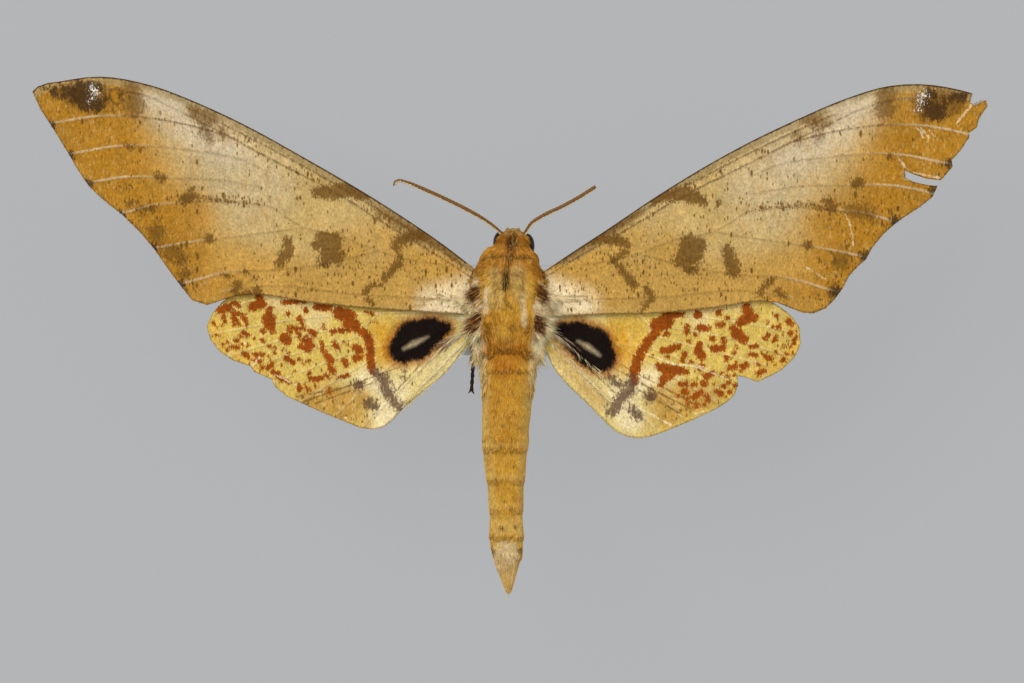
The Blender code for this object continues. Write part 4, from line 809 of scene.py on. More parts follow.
def vein_lines(node, names=None):
    """The middle lines of a wing's veins, as marks with no width."""
    veins = HINDWING_VEINS if node.startswith("hind") else FOREWING_VEINS
    lines = [[(p.x, p.y, 0.0) for p in smooth_curve([(x, y, 0.0) for x, y in veins[name]], 2.0)]
             for name in names or veins]
    return mirrored(lines, wing_turn(node)) if node.endswith("right") else lines


def wing_turn(node):
    """How far a right wing is set round from the mirror of the left one."""
    return SET_ANGLE_RIGHT if node == "forewing_right" else 0.0


def sided(fields, node):
    """Fields of the left wing as the wing of this node has them."""
    if node.endswith("left"):
        return fields
    return [(*rest, mirrored(marks, wing_turn(node))) for *rest, marks in fields]


def front_margin(rim):
    """The pieces of a wing's edge that face forward."""
    middle = np.mean([point[:2] for edge in rim for point in edge], axis=0)
    found = []
    for a, b in rim:
        run = np.array(b[:2]) - np.array(a[:2])
        out = np.array((run[1], -run[0])) / max(np.linalg.norm(run), 1e-6)
        side = out @ ((np.array(a[:2]) + np.array(b[:2])) / 2 - middle)
        ahead = (a[1] + b[1]) / 2 > MARGIN_START + MARGIN_SLOPE * abs(a[0])
        if ahead and out[1] * np.sign(side) > LEAST_FORWARD:
            found.append([a, b])
    return found


def make_wing(node, marks, zones, flecks, base, drop, finish):
    """One wing: a thin membrane with raised veins that carries its pattern as numbers."""
    sizes = bpy.context.scene.hawkmoth_wings
    bm, rim = wing_sheet(node, sizes.detail)
    lines = vein_lines(node)
    flat = np.array([(v.co.x / MM, v.co.y / MM) for v in bm.verts])
    away = -inside(flat, lines)
    for vert, near in zip(bm.verts, away):
        x, y = vert.co.x / MM, vert.co.y / MM
        vert.co.z = wing_height(x, y, drop, near) * MM
    grown = bmesh.ops.extrude_face_region(bm, geom=bm.faces[:])
    top = [item for item in grown["geom"] if isinstance(item, bmesh.types.BMVert)]
    raised = set(top)
    for vert in bm.verts:
        if vert not in raised:
            vert.co.z -= sizes.membrane
    bmesh.ops.recalc_face_normals(bm, faces=bm.faces)
    bm.verts.index_update()
    upper = np.zeros(len(bm.verts))
    upper[[vert.index for vert in top]] = 1.0
    mesh = as_mesh(bm, node + "_membrane")
    flat = places_of(mesh)[:, :2]
    pale = field(flat, sided(PALE_VEIN_FIELDS, node))
    front = ["subcosta", "radius", "radial_branch"] if node.startswith("fore") else ["cubitus"]
    numbers = {
        "ground": zoned_colour(flat, base, sided(zones, node)),
        "vein": -inside(flat, lines),
        "front_vein": -inside(flat, vein_lines(node, front)),
        "rim": -inside(flat, rim),
        "costa": -inside(flat, front_margin(rim)),
        "fleck": field(flat, sided(flecks, node)),
        "pale_share": pale,
        "dark_share": 1 - pale,
        "upper": upper,
    }
    for name, chains in marks.items():
        numbers[name] = inside(flat, chains)
    for name, values in numbers.items():
        store(mesh, name, values)
    return new_piece(node + "_membrane", mesh, finish, [node])


def stain(tree, place, colour, name, tone, low, high, strength, ragged=0.0, size=0.5, also=None):
    """Lays a tone over the colour where a stored number passes from low to high, with a torn edge."""
    depth = add_node(tree, "ShaderNodeAttribute", {"attribute_name": name}).outputs["Fac"]
    if ragged:
        # This tears the edge by about the given length.
        reach = ragged / NOISE_STRAY
        rows = add_node(tree, "ShaderNodeMapping", {"Scale": (1.0, 0.5, 1.0)}, {"Vector": place})
        torn = add_node(
            tree, "ShaderNodeTexNoise", {"Scale": 1 / (size * MM), "Detail": 4.0, "Roughness": 0.75},
            {"Vector": rows.outputs["Vector"]},
        )
        push = add_node(
            tree, "ShaderNodeMath", {"operation": "MULTIPLY_ADD", 1: reach, 2: -reach / 2},
            {0: torn.outputs["Fac"]},
        )
        depth = add_node(
            tree, "ShaderNodeMath", {"operation": "ADD"}, {0: depth, 1: push.outputs[0]}
        ).outputs[0]
    share = add_node(
        tree, "ShaderNodeMapRange",
        {
            "interpolation_type": "SMOOTHSTEP",
            "From Min": low, "From Max": high, "To Min": 0.0, "To Max": strength,
        },
        {"Value": depth},
    ).outputs["Result"]
    if also:
        limit = add_node(tree, "ShaderNodeAttribute", {"attribute_name": also})
        share = add_node(
            tree, "ShaderNodeMath", {"operation": "MULTIPLY"}, {0: share, 1: limit.outputs["Fac"]}
        ).outputs[0]
    return add_node(
        tree, "ShaderNodeMix", {"data_type": "RGBA", MIX_B: (*paint(tone), 1.0)}, {0: share, MIX_A: colour}
    ).outputs[MIX_RESULT]


def fleck(tree, place, colour, name, tone, cell, radius, strength, portion=1.0):
    """Strews short flecks of single scales in a portion of the cells that the stored share picks."""
    spread = 1 / (cell * MM)
    stretched = (spread, spread * FLECK_STRETCH, spread)
    drawn = add_node(tree, "ShaderNodeMapping", {"Scale": stretched}, {"Vector": place})
    cells = add_node(
        tree, "ShaderNodeTexVoronoi", {"voronoi_dimensions": "2D", "Scale": 1.0, "Randomness": 1.0},
        {"Vector": drawn.outputs["Vector"]},
    )
    pick = add_node(tree, "ShaderNodeSeparateColor", {}, {"Color": cells.outputs["Color"]})
    share = add_node(tree, "ShaderNodeAttribute", {"attribute_name": name})
    clumps = add_node(
        tree, "ShaderNodeTexNoise", {"Scale": 1 / (CLUMP_SIZE * MM), "Detail": 1.0}, {"Vector": place}
    )
    thick = add_node(
        tree, "ShaderNodeMapRange",
        {"From Min": 0.4, "From Max": 0.62, "To Min": 0.3 * portion, "To Max": 1.8 * portion},
        {"Value": clumps.outputs["Fac"]},
    )
    limit = add_node(
        tree, "ShaderNodeMath", {"operation": "MULTIPLY"},
        {0: share.outputs["Fac"], 1: thick.outputs["Result"]},
    )
    chosen = add_node(
        tree, "ShaderNodeMath", {"operation": "LESS_THAN"}, {0: pick.outputs["Red"], 1: limit.outputs[0]}
    )
    # Each fleck has its own size, from under half to half as large again.
    size = add_node(tree, "ShaderNodeMath", {"operation": "ADD", 1: 0.45}, {0: pick.outputs["Green"]})
    away = add_node(
        tree, "ShaderNodeMath", {"operation": "DIVIDE"}, {0: cells.outputs["Distance"], 1: size.outputs[0]}
    )
    dot = add_node(
        tree, "ShaderNodeMapRange",
        {"From Min": radius, "From Max": radius * 0.5, "To Min": 0.0, "To Max": strength},
        {"Value": away.outputs[0]},
    )
    amount = add_node(
        tree, "ShaderNodeMath", {"operation": "MULTIPLY"}, {0: dot.outputs["Result"], 1: chosen.outputs[0]}
    )
    return add_node(
        tree, "ShaderNodeMix", {"data_type": "RGBA", MIX_B: (*paint(tone), 1.0)},
        {0: amount.outputs[0], MIX_A: colour},
    ).outputs[MIX_RESULT]


def wing_finish(name, steps):
    """Overlapping powdery scales on a dry membrane: matt and grainy, with no clean edge anywhere."""
    made, tree, shader, place = new_material(name)
    colour = add_node(tree, "ShaderNodeAttribute", {"attribute_name": "ground"}).outputs["Color"]
    for step, *values in steps:
        colour = step(tree, place, colour, *values)
    drawn = add_node(tree, "ShaderNodeMapping", {"Scale": (1.0, 0.6, 1.0)}, {"Vector": place})
    for size, reach in SCALE_GRAIN:
        grain = add_node(
            tree, "ShaderNodeTexNoise", {"Scale": 1 / (size * MM), "Detail": 3.0},
            {"Vector": drawn.outputs["Vector"]},
        )
        shade = add_node(
            tree, "ShaderNodeMapRange",
            {"From Min": 0.3, "From Max": 0.7, "To Min": 1 - reach, "To Max": 1 + reach},
            {"Value": grain.outputs["Fac"]},
        )
        colour = add_node(
            tree, "ShaderNodeMix", {"data_type": "RGBA", "blend_type": "MULTIPLY", 0: 1.0},
            {MIX_A: colour, MIX_B: shade.outputs["Result"]},
        ).outputs[MIX_RESULT]
    # The underside has fewer and paler scales.
    colour = stain(tree, place, colour, "upper", "tan", 1.0, 0.0, 0.6)
    tree.links.new(colour, shader.inputs["Base Color"])
    shader.inputs["Roughness"].default_value = 0.75
    shader.inputs["Specular IOR Level"].default_value = 0.06
    shader.inputs["Sheen Weight"].default_value = 0.01
    bump = add_node(tree, "ShaderNodeBump", {"Strength": 0.4, "Distance": 0.05 * MM})
    fine = add_node(tree, "ShaderNodeTexNoise", {"Scale": 1 / (0.25 * MM), "Detail": 2.0}, {"Vector": place})
    tree.links.new(fine.outputs["Fac"], bump.inputs["Height"])
    tree.links.new(bump.outputs["Normal"], shader.inputs["Normal"])
    return made


def tuft_shape():
    """One unit tuft: a three-sided spike with a full middle, as rows of (across, up, along) and triangles."""
    bm = bmesh.new()
    bmesh.ops.create_cone(bm, cap_ends=False, segments=3, radius1=0.5, radius2=0.0, depth=1.0)
    bmesh.ops.remove_doubles(bm, verts=bm.verts, dist=1e-4)
    cut = bmesh.ops.bisect_plane(
        bm, geom=bm.verts[:] + bm.edges[:] + bm.faces[:], plane_co=(0, 0, TUFT_BELLY_AT - 0.5),
        plane_no=(0, 0, 1),
    )
    ring = [item for item in cut["geom_cut"] if isinstance(item, bmesh.types.BMVert)]
    bmesh.ops.scale(bm, vec=(TUFT_BELLY, TUFT_BELLY, 1.0), verts=ring)
    bmesh.ops.translate(bm, vec=(0, 0, 0.5), verts=bm.verts)
    bmesh.ops.triangulate(bm, faces=bm.faces)
    bmesh.ops.recalc_face_normals(bm, faces=bm.faces)
    bm.verts.index_update()
    rows = np.array([tuple(vert.co) for vert in bm.verts])
    triangles = np.array([[vert.index for vert in face.verts] for face in bm.faces])
    bm.free()
    return rows, triangles


def unit(vectors):
    """Rows of vectors, each made one long."""
    return vectors / np.maximum(np.linalg.norm(vectors, axis=1, keepdims=True), 1e-9)


def unwrap(roots, shape):
    """Places on a chart of the part that the roots stand on, in the unit square."""
    centre = roots.mean(axis=0)
    if shape == "body":
        # The body is a tube along Y: round it one way and along it the other.
        local = (roots - (centre[0], centre[1], BODY_Z))[:, [1, 0, 2]]
    else:
        local = (roots - centre) @ np.linalg.svd(roots - centre, full_matrices=False)[2].T
    if shape == "sheet":
        # A wing is a thin sheet: its own length and width.
        chart = local[:, :2]
    else:
        chart = np.stack([np.arctan2(local[:, 1], local[:, 2]), local[:, 0]], axis=1)
    low, high = chart.min(axis=0), chart.max(axis=0)
    return (chart - low) / np.maximum(high - low, 1e-9) * CHART_SIZE + (1 - CHART_SIZE) / 2


def grow(name, roots, lie, lift, lengths, widths, colours, finish, slot, chart="body", press=TUFT_PRESS):
    """A coat of tufts in millimetres: each leaves its root along its lie and bends back to the skin."""
    shape, triangles = tuft_shape()
    lie = unit(lie)
    across = unit(np.cross(lie, lift))
    up = np.cross(across, lie)
    t = shape[:, 2][None, :, None]
    reach = lengths[:, None, None]
    spine = roots[:, None] + lie[:, None] * reach * t - lift[:, None] * reach * press * t**2
    wide = widths[:, None, None]
    sideways = across[:, None] * shape[None, :, :1] * wide
    upwards = up[:, None] * shape[None, :, 1:2] * wide * TUFT_FLATNESS
    verts = spine + sideways + upwards
    count, size = len(roots), len(shape)
    faces = (triangles[None] + np.arange(count)[:, None, None] * size).reshape(-1, 3)
    mesh = bpy.data.meshes.new(name)
    mesh.vertices.add(count * size)
    mesh.vertices.foreach_set("co", (verts.reshape(-1) * MM).astype(np.float32))
    mesh.loops.add(faces.size)
    mesh.loops.foreach_set("vertex_index", faces.reshape(-1).astype(np.int32))
    mesh.polygons.add(len(faces))
    mesh.polygons.foreach_set("loop_start", np.arange(0, faces.size, 3, dtype=np.int32))
    mesh.update(calc_edges=True)
    mesh.shade_smooth()
    # Each tuft is painted darker at its root and lighter at its point: painted shade deep in the coat,
    # painted light on the points.
    shade = TUFT_ROOT_PAINTED_SHADE + TUFT_POINT_PAINTED_LIGHT * shape[:, 2]
    store(mesh, "coat", np.clip(colours[:, None] * shade[None, :, None], 0, 1).reshape(-1, 3))
    flat = unwrap(roots, chart)[:, None] + (shape[None][:, :, [0, 2]] - (0, 0.5)) * BAKE_PATCH
    layer = mesh.uv_layers.new(name="OFBake")
    layer.uv.foreach_set("vector", flat.reshape(-1, 2)[faces.reshape(-1)].reshape(-1).astype(np.float32))
    return new_piece(name, mesh, finish, ())


def scatter(mesh, count, seed, keep=None):
    """Random places on a mesh with the skin's direction there, evenly by area, in millimetres."""
    rng = np.random.default_rng(seed)
    mesh.calc_loop_triangles()
    corners = np.empty(len(mesh.loop_triangles) * 3, dtype=np.int32)
    mesh.loop_triangles.foreach_get("vertices", corners)
    places = places_of(mesh)
    a, b, c = places[corners.reshape(-1, 3)].transpose(1, 0, 2)
    facing = np.cross(b - a, c - a)
    area = np.linalg.norm(facing, axis=1)
    if keep is not None:
        area = area * keep((a + b + c) / 3)
    chosen = rng.choice(len(area), size=count, p=area / area.sum())
    r, s = rng.random(count), rng.random(count)
    over = r + s > 1
    r[over], s[over] = 1 - r[over], 1 - s[over]
    r, s = r[:, None], s[:, None]
    roots = a[chosen] * (1 - r - s) + b[chosen] * r + c[chosen] * s
    return roots, unit(facing[chosen]), rng


def laid(roots, facing, flow, lift, spread, rng):
    """Directions that follow a flow along the skin, lifted off it, each a little astray."""
    along = flow - facing * np.sum(flow * facing, axis=1, keepdims=True)
    along = unit(along + rng.normal(0, spread, roots.shape))
    along = unit(along - facing * np.sum(along * facing, axis=1, keepdims=True))
    return unit(along + facing * lift)


def hair_finish(name, roughness):
    """Hair-like scales of a dry insect: matt, with hardly any sheen, and a tone that varies in patches."""
    made, tree, shader, place = new_material(name)
    colour = add_node(tree, "ShaderNodeAttribute", {"attribute_name": "coat"}).outputs["Color"]
    patches = add_node(
        tree, "ShaderNodeTexNoise", {"Scale": 1 / (0.5 * MM), "Detail": 2.0}, {"Vector": place}
    )
    shade = add_node(
        tree, "ShaderNodeMapRange",
        {"From Min": 0.3, "From Max": 0.7, "To Min": 0.86, "To Max": 1.12}, {"Value": patches.outputs["Fac"]},
    )
    mixed = add_node(
        tree, "ShaderNodeMix", {"data_type": "RGBA", "blend_type": "MULTIPLY", 0: 1.0},
        {MIX_A: colour, MIX_B: shade.outputs["Result"]},
    )
    tree.links.new(mixed.outputs[MIX_RESULT], shader.inputs["Base Color"])
    shader.inputs["Roughness"].default_value = roughness
    shader.inputs["Specular IOR Level"].default_value = 0.05
    shader.inputs["Sheen Weight"].default_value = 0.01
    shader.inputs["Sheen Roughness"].default_value = 0.5
    return made


def horn_finish(name, colour, deep, roughness, grain_mm, depth_mm):
    """Insect horn, a tanned hard skin: low satin gloss over a fine pebbled or fluted surface."""
    made, tree, shader, place = new_material(name)
    grain = add_node(
        tree, "ShaderNodeTexNoise", {"Scale": 1 / (grain_mm * MM), "Detail": 4.0}, {"Vector": place}
    )
    tone = add_node(
        tree, "ShaderNodeMix",
        {"data_type": "RGBA", MIX_A: (*linear(deep), 1.0), MIX_B: (*linear(colour), 1.0)},
        {0: grain.outputs["Fac"]},
    )
    tree.links.new(tone.outputs[MIX_RESULT], shader.inputs["Base Color"])
    shader.inputs["Roughness"].default_value = roughness
    shader.inputs["IOR"].default_value = 1.55
    shader.inputs["Specular IOR Level"].default_value = 0.22
    bump = add_node(
        tree, "ShaderNodeBump", {"Strength": 0.5, "Distance": depth_mm * MM}, {"Height": grain.outputs["Fac"]}
    )
    tree.links.new(bump.outputs["Normal"], shader.inputs["Normal"])
    return made


def ripple(places, size, phase):
    """Smooth waves over a place in millimetres, between about -1 and 1, without any drawing of lots."""
    x, y, z = (places / size).T
    return (
        np.sin(x * 1.7 + y * 2.3 + phase) * np.cos(y * 1.3 - z * 2.1 + phase * 2)
        + np.sin(x * 3.9 - y * 1.1 + z * 2.7 + phase * 3) * 0.6
    ) / 1.6


def body_colour(places):
    """The coat's colour over the body: ochre, with the back's markings and darker segment edges."""
    colour = zoned_colour(places[:, :2], "ochre", BODY_ZONES)
    below = np.clip((BODY_Z - places[:, 2]) / 3.0, 0, 1)[:, None]
    plain = np.array(paint("ochre")) * 0.6 + np.array(paint("straw")) * 0.4
    colour = colour * (1 - below) + plain * below
    for end, shade in SEGMENT_EDGES:
        wave = EDGE_WAVER * ripple(places, 0.7, end)
        line = np.exp(-((places[:, 1] - end + wave) / EDGE_LINE) ** 2) * shade
        line = (line * np.clip(0.7 + 0.8 * ripple(places, 0.5, end * 2), 0, 1.3))[:, None]
        ahead = places[:, 1] - end - EDGE_BAND_AHEAD + wave
        band = (np.exp(-(ahead / EDGE_BAND) ** 2) * shade * 0.7)[:, None]
        colour = colour * (1 - band) + np.array(paint("honey")) * band
        colour = colour * (1 - line) + np.array(paint("brown")) * line
    clump = ripple(places, 0.9, 1.0) * 0.1 + ripple(places, 0.34, 4.0) * 0.12
    colour = colour * (1 + clump[:, None])
    warm = np.clip(ripple(places, 1.6, 7.0) * 0.35, 0, 1)[:, None]
    colour = colour * (1 - warm) + np.array(paint("russet")) * warm
    return colour


def speckled(colours, rng, pale, dark, share):
    """Tufts of a mixed coat: most keep their place's colour, some are paler and some darker."""
    roll = rng.random(len(colours))
    amount = rng.uniform(0.2, 0.65, (len(colours), 1))
    light = (roll < share)[:, None] * amount
    deep = (roll > 1 - share * 0.7)[:, None] * amount
    mixed = colours * (1 - light) + np.array(paint(pale)) * light
    return mixed * (1 - deep) + np.array(paint(dark)) * deep


def body_skin():
    """One skin over head, thorax, shoulders and abdomen, with the gaps between the solids closed."""
    bm = merged_copy(*SKIN_NODES)
    for place, size in SWELLINGS:
        made = bmesh.ops.create_uvsphere(bm, u_segments=48, v_segments=32, radius=MM)["verts"]
        bmesh.ops.scale(bm, vec=size, verts=made)
        bmesh.ops.translate(bm, vec=(Vector(place) + Vector((0, 0, BODY_Z))) * MM, verts=made)
    stops, halves = zip(*sorted(SIDE_STOPS))
    for vert in bm.verts:
        if vert.co.y < stops[-1] * MM:
            limit = float(np.interp(vert.co.y / MM, stops, halves)) * MM
            vert.co.x = max(-limit, min(limit, vert.co.x))
    swell = SKIN_SWELL * MM
    mesh = with_modifiers(as_mesh(bm, "skin"), [
        ("DISPLACE", {"strength": swell, "mid_level": 0.0}),
        ("REMESH", {"mode": "VOXEL", "voxel_size": SKIN_CELL * MM}),
        ("SMOOTH", {"factor": 0.5, "iterations": SKIN_SMOOTHING}),
        ("DISPLACE", {"strength": -swell - SKIN_SINK * MM, "mid_level": 0.0}),
    ])
    bm = bmesh.new()
    bm.from_mesh(mesh)
    rear, front = PLAIN_SEGMENTS
    plain = [vert for vert in bm.verts if rear * MM < vert.co.y < front * MM]
    for _ in range(PLAIN_SMOOTHING):
        bmesh.ops.smooth_vert(
            bm, verts=plain, factor=0.5, use_axis_x=True, use_axis_y=True, use_axis_z=True
        )
    bm.to_mesh(mesh)
    bm.free()
    return mesh


def on_part(places, rear, front, out, low):
    """Which places lie between two ends of the body, this far out and this high over its axis."""
    along = (places[:, 1] > rear) & (places[:, 1] <= front)
    return along & (np.abs(places[:, 0]) >= out) & (places[:, 2] > BODY_Z + low)


def on_face(places):
    """Which places lie on the face, below the brow."""
    return (places[:, 1] > FACE_FROM) & (places[:, 2] < BODY_Z + FACE_TOP)


def on_cheeks(places):
    """Which places lie on the sides of head and collar."""
    out = np.abs(places[:, 0] - HEAD_MIDDLE) > CHEEKS_OUT
    return out & (places[:, 1] > CHEEKS_FROM) & (places[:, 1] < CHEEKS_TO)


def hair_flow(roots):
    """Which way the body's hair lies: outwards from the middle of the back, then to the rear."""
    x, y = roots[:, 0], roots[:, 1]
    flow = np.zeros(roots.shape)
    flow[:, 1] = -1.0
    shoulders = np.clip((y - SHOULDERS[0]) / 2.0, 0, 1) * np.clip((SHOULDERS[1] - y) / 1.6, 0.15, 1)
    flow[:, 0] = np.clip(x / PARTING, -1, 1) * (0.12 + 0.95 * shoulders)
    head = y >= CREST_FROM
    flow[head, 0] = 0.75 * np.clip((x - CREST_MIDDLE) / PARTING, -1, 1)[head]
    flow[head, 1] = -0.9
    cheeks = on_cheeks(roots)
    flow[cheeks, 0] *= 0.25
    flow[cheeks, 2] = -0.4
    flow[on_face(roots)] = (0.0, 0.25, -1.0)
    flow[:, 0] += 0.22 * ripple(roots, 0.9, 2.0)
    flow[:, 2] += 0.15 * ripple(roots, 0.7, 5.0)
    return flow


def side_flow(roots):
    """The side hair's way: out over the wings' roots, and more to the rear towards its end."""
    back = np.clip(-roots[:, 1] / 8, 0, 1)
    flow = np.stack([np.sign(roots[:, 0]) * (1.0 - 0.45 * back), -0.35 - 0.6 * back, back * 0], axis=1)
    flow[:, 1] += 0.25 * ripple(roots, 0.5, 3.0)
    return flow


def flank_flow(roots):
    """The flank hair's way: to the rear and a little out."""
    flow = np.tile(np.array((0.0, -1.0, 0.0)), (len(roots), 1))
    flow[:, 0] = np.sign(roots[:, 0]) * 0.3 + 0.3 * ripple(roots, 0.5, 3.0)
    return flow


def places_along(line, count, rng):
    """Random places about a field's middle line, thinning out towards its edge."""
    places = []
    while len(places) < count:
        x = rng.uniform(min(p[0] - p[2] for p in line), max(p[0] + p[2] for p in line), LOTS_AT_ONCE)
        y = rng.uniform(min(p[1] - p[2] for p in line), max(p[1] + p[2] for p in line), LOTS_AT_ONCE)
        flat = np.stack([x, y], axis=1)
        places += list(flat[inside(flat, [line]) > rng.uniform(0, 0.9, LOTS_AT_ONCE)])
    return np.array(places[:count])


def eye_finish():
    """Compound eyes of horn lenses: near black with a dull gloss and a net of facets, drawn twice as wide
    as the real 0.05 mm so that it shows."""
    made, tree, shader, place = new_material("compound_eye")
    shader.inputs["Base Color"].default_value = (*linear("#1C1009"), 1.0)
    shader.inputs["Roughness"].default_value = 0.38
    shader.inputs["Specular IOR Level"].default_value = 0.1
    shader.inputs["Coat Weight"].default_value = 0.02
    facets = add_node(
        tree, "ShaderNodeTexVoronoi", {"feature": "DISTANCE_TO_EDGE", "Scale": 1 / (EYE_FACET * MM)},
        {"Vector": place},
    )
    bump = add_node(
        tree, "ShaderNodeBump", {"Strength": 0.5, "Distance": 0.02 * MM},
        {"Height": facets.outputs["Distance"]},
    )
    tree.links.new(bump.outputs["Normal"], shader.inputs["Normal"])
    return made


def painted_finish():
    """Cast metal sprayed with matt grey paint: an even tone with a fine orange peel."""
    made, tree, shader, place = new_material("stand_matt_paint")
    shader.inputs["Base Color"].default_value = (*linear("#BCBEBF"), 1.0)
    shader.inputs["Roughness"].default_value = 0.6
    peel = add_node(tree, "ShaderNodeTexNoise", {"Scale": 1 / (0.4 * MM), "Detail": 3.0}, {"Vector": place})
    bump = add_node(
        tree, "ShaderNodeBump", {"Strength": 0.25, "Distance": 0.03 * MM}, {"Height": peel.outputs["Fac"]}
    )
    tree.links.new(bump.outputs["Normal"], shader.inputs["Normal"])
    return made


def steel_finish():
    """Drawn stainless steel: bright, with fine lines along its length that spread the gloss."""
    made, tree, shader, place = new_material("stand_drawn_steel")
    shader.inputs["Base Color"].default_value = (*linear("#C4C5C8"), 1.0)
    shader.inputs["Metallic"].default_value = 1.0
    stretch = add_node(tree, "ShaderNodeMapping", {"Scale": (1.0, 1.0, 0.02)}, {"Vector": place})
    lines = add_node(
        tree, "ShaderNodeTexNoise", {"Scale": 1 / (0.12 * MM), "Detail": 2.0},
        {"Vector": stretch.outputs["Vector"]},
    )
    gloss = add_node(
        tree, "ShaderNodeMapRange", {"To Min": 0.26, "To Max": 0.42}, {"Value": lines.outputs["Fac"]}
    )
    tree.links.new(gloss.outputs["Result"], shader.inputs["Roughness"])
    return made


def board_finish(look):
    """Smooth painted board, lit so evenly that it holds almost no shadow."""
    made, _, shader, _ = new_material("floor_grey_board")
    shader.inputs["Base Color"].default_value = (*(look.floor_shadow * c for c in paint("ground")), 1.0)
    shader.inputs["Roughness"].default_value = 0.9
    shader.inputs["Specular IOR Level"].default_value = 0.0
    shader.inputs["Emission Color"].default_value = (*paint("ground"), 1.0)
    shader.inputs["Emission Strength"].default_value = look.floor_glow
    return made


def upright_in(node, segments):
    """An upright cylinder that fills a node's box, and the box's size."""
    low, high = (Vector(corner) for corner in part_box(node))
    size = high - low
    bm = bmesh.new()
    bmesh.ops.create_cone(bm, cap_ends=True, segments=segments, radius1=0.5, radius2=0.5, depth=1.0)
    bmesh.ops.scale(bm, vec=size, verts=bm.verts)
    bmesh.ops.translate(bm, vec=(low + high) / 2, verts=bm.verts)
    return bm, size


def machined(bm, name):
    """A mesh with smooth sides and sharp edges."""
    mesh = as_mesh(bm, name)
    mesh.set_sharp_from_angle(angle=math.radians(50))
    return mesh


class HAWKMOTH_OT_wings(bpy.types.Operator):
    """Makes the four membranes with their veins and patterns"""

    bl_idname = "hawkmoth.wings"
    bl_label = "Wings"

    def execute(self, context):
        fore = wing_finish("wing_scales_fore", [
            (stain, "upper", "tan", 1.0, 1.3, 0.3, 0.35, 1.6),
            (stain, "costa", "reed", 1.15, 0.75, 0.55, 0.15, 0.5),
            (fleck, "pale_share", "reed", 0.4, 0.28, 0.4, 0.5),
            (fleck, "pale_share", "brown", 0.45, 0.28, 0.4, 0.35),
            (stain, "vein", "chalk", 0.22, 0.05, 0.62, 0.05, 0.4, "pale_share"),
            (stain, "vein", "brown", 0.13, 0.0, 0.3, 0.1, 0.4, "dark_share"),
            (stain, "front_vein", "umber", 0.15, 0.02, 0.5, 0.16, 0.35, "dark_share"),
            (stain, "costa", "umber", 0.95, 0.75, 0.35, 0.2, 0.3, "dark_share"),
            (fleck, "fleck", "brown", 0.36, 0.3, 0.75),
            (fleck, "fleck", "brown", 0.62, 0.28, 0.9, 0.5),
            (stain, "pale", "chalk", -0.7, 0.7, 0.7, 0.4, 1.0),
            (stain, "smoke", "brown", -0.65, 0.45, 0.72, 0.55, 0.3),
            (stain, "brown", "brown", -0.25, 0.2, 0.88, 0.4, 0.26),
            (stain, "spot", "brown", -0.3, 0.0, 0.75, 0.12, 0.3),
            (stain, "spot", "orange", 0.1, 0.35, 0.95, 0.1, 0.3),
            (stain, "dark", "umber", -0.45, 0.12, 0.88, 0.4, 0.3),
            (stain, "frost", "white", 0.5, 0.75, 0.95, 1.1, 0.15),
            (stain, "crack", "cream", -0.08, 0.06, 0.5, 0.1, 0.3),
            (stain, "costa", "umber", 0.26, 0.1, 0.85, 0.06, 0.4),
            (stain, "rim", "umber", 0.18, 0.05, 0.55, 0.12, 0.4),
        ])
        hind = wing_finish("wing_scales_hind", [
            (stain, "upper", "straw", 1.0, 1.3, 0.35, 0.35, 1.2),
            (stain, "vein", "cream", 0.15, 0.03, 0.22, 0.04, 0.4),
            (fleck, "fleck", "brown", 0.32, 0.34, 0.8),
            # Painted shade of creases: thin brown lines where the wing is folded.
            (stain, "crease", "brown", -0.1, 0.06, 0.7, 0.08, 0.3),
            (stain, "worn", "tan", -1.2, 0.5, 0.6, 0.4, 0.6),
            (stain, "amber", "amber", -1.5, 0.3, 0.7, 0.4, 0.8),
            (stain, "rust", "rust", -0.18, 0.1, 1.0, 0.24, 0.24),
            (stain, "rust", "umber", 0.1, 0.9, 0.25, 0.7, 0.5),
            (stain, "mauve", "mauve", -0.5, 0.2, 0.88, 0.5, 0.3),
            (stain, "black", "rust", -1.3, 0.0, 0.75, 0.2, 0.4),
            (stain, "black", "black", -0.35, 0.25, 1.0, 0.22, 0.3),
            (stain, "slit", "slit", -0.35, 0.4, 0.9, 0.06, 0.4),
            (stain, "nick", "cream", -0.05, 0.05, 0.6, 0.1, 0.3),
            (stain, "rim", "brown", 0.16, 0.04, 0.45, 0.1, 0.4),
        ])
        for node, marks in (("forewing_left", FOREWING_LEFT_MARKS), ("forewing_right", FOREWING_RIGHT_MARKS)):
            make_wing(node, marks, FOREWING_ZONES, FLECK_FIELDS, "buff", 0.0, fore)
        for node, marks in (("hindwing_left", HINDWING_LEFT_MARKS), ("hindwing_right", HINDWING_RIGHT_MARKS)):
            make_wing(node, marks, HINDWING_ZONES, HIND_FLECK_FIELDS, "yellow", HINDWING_DROP, hind)
        return {"FINISHED"}


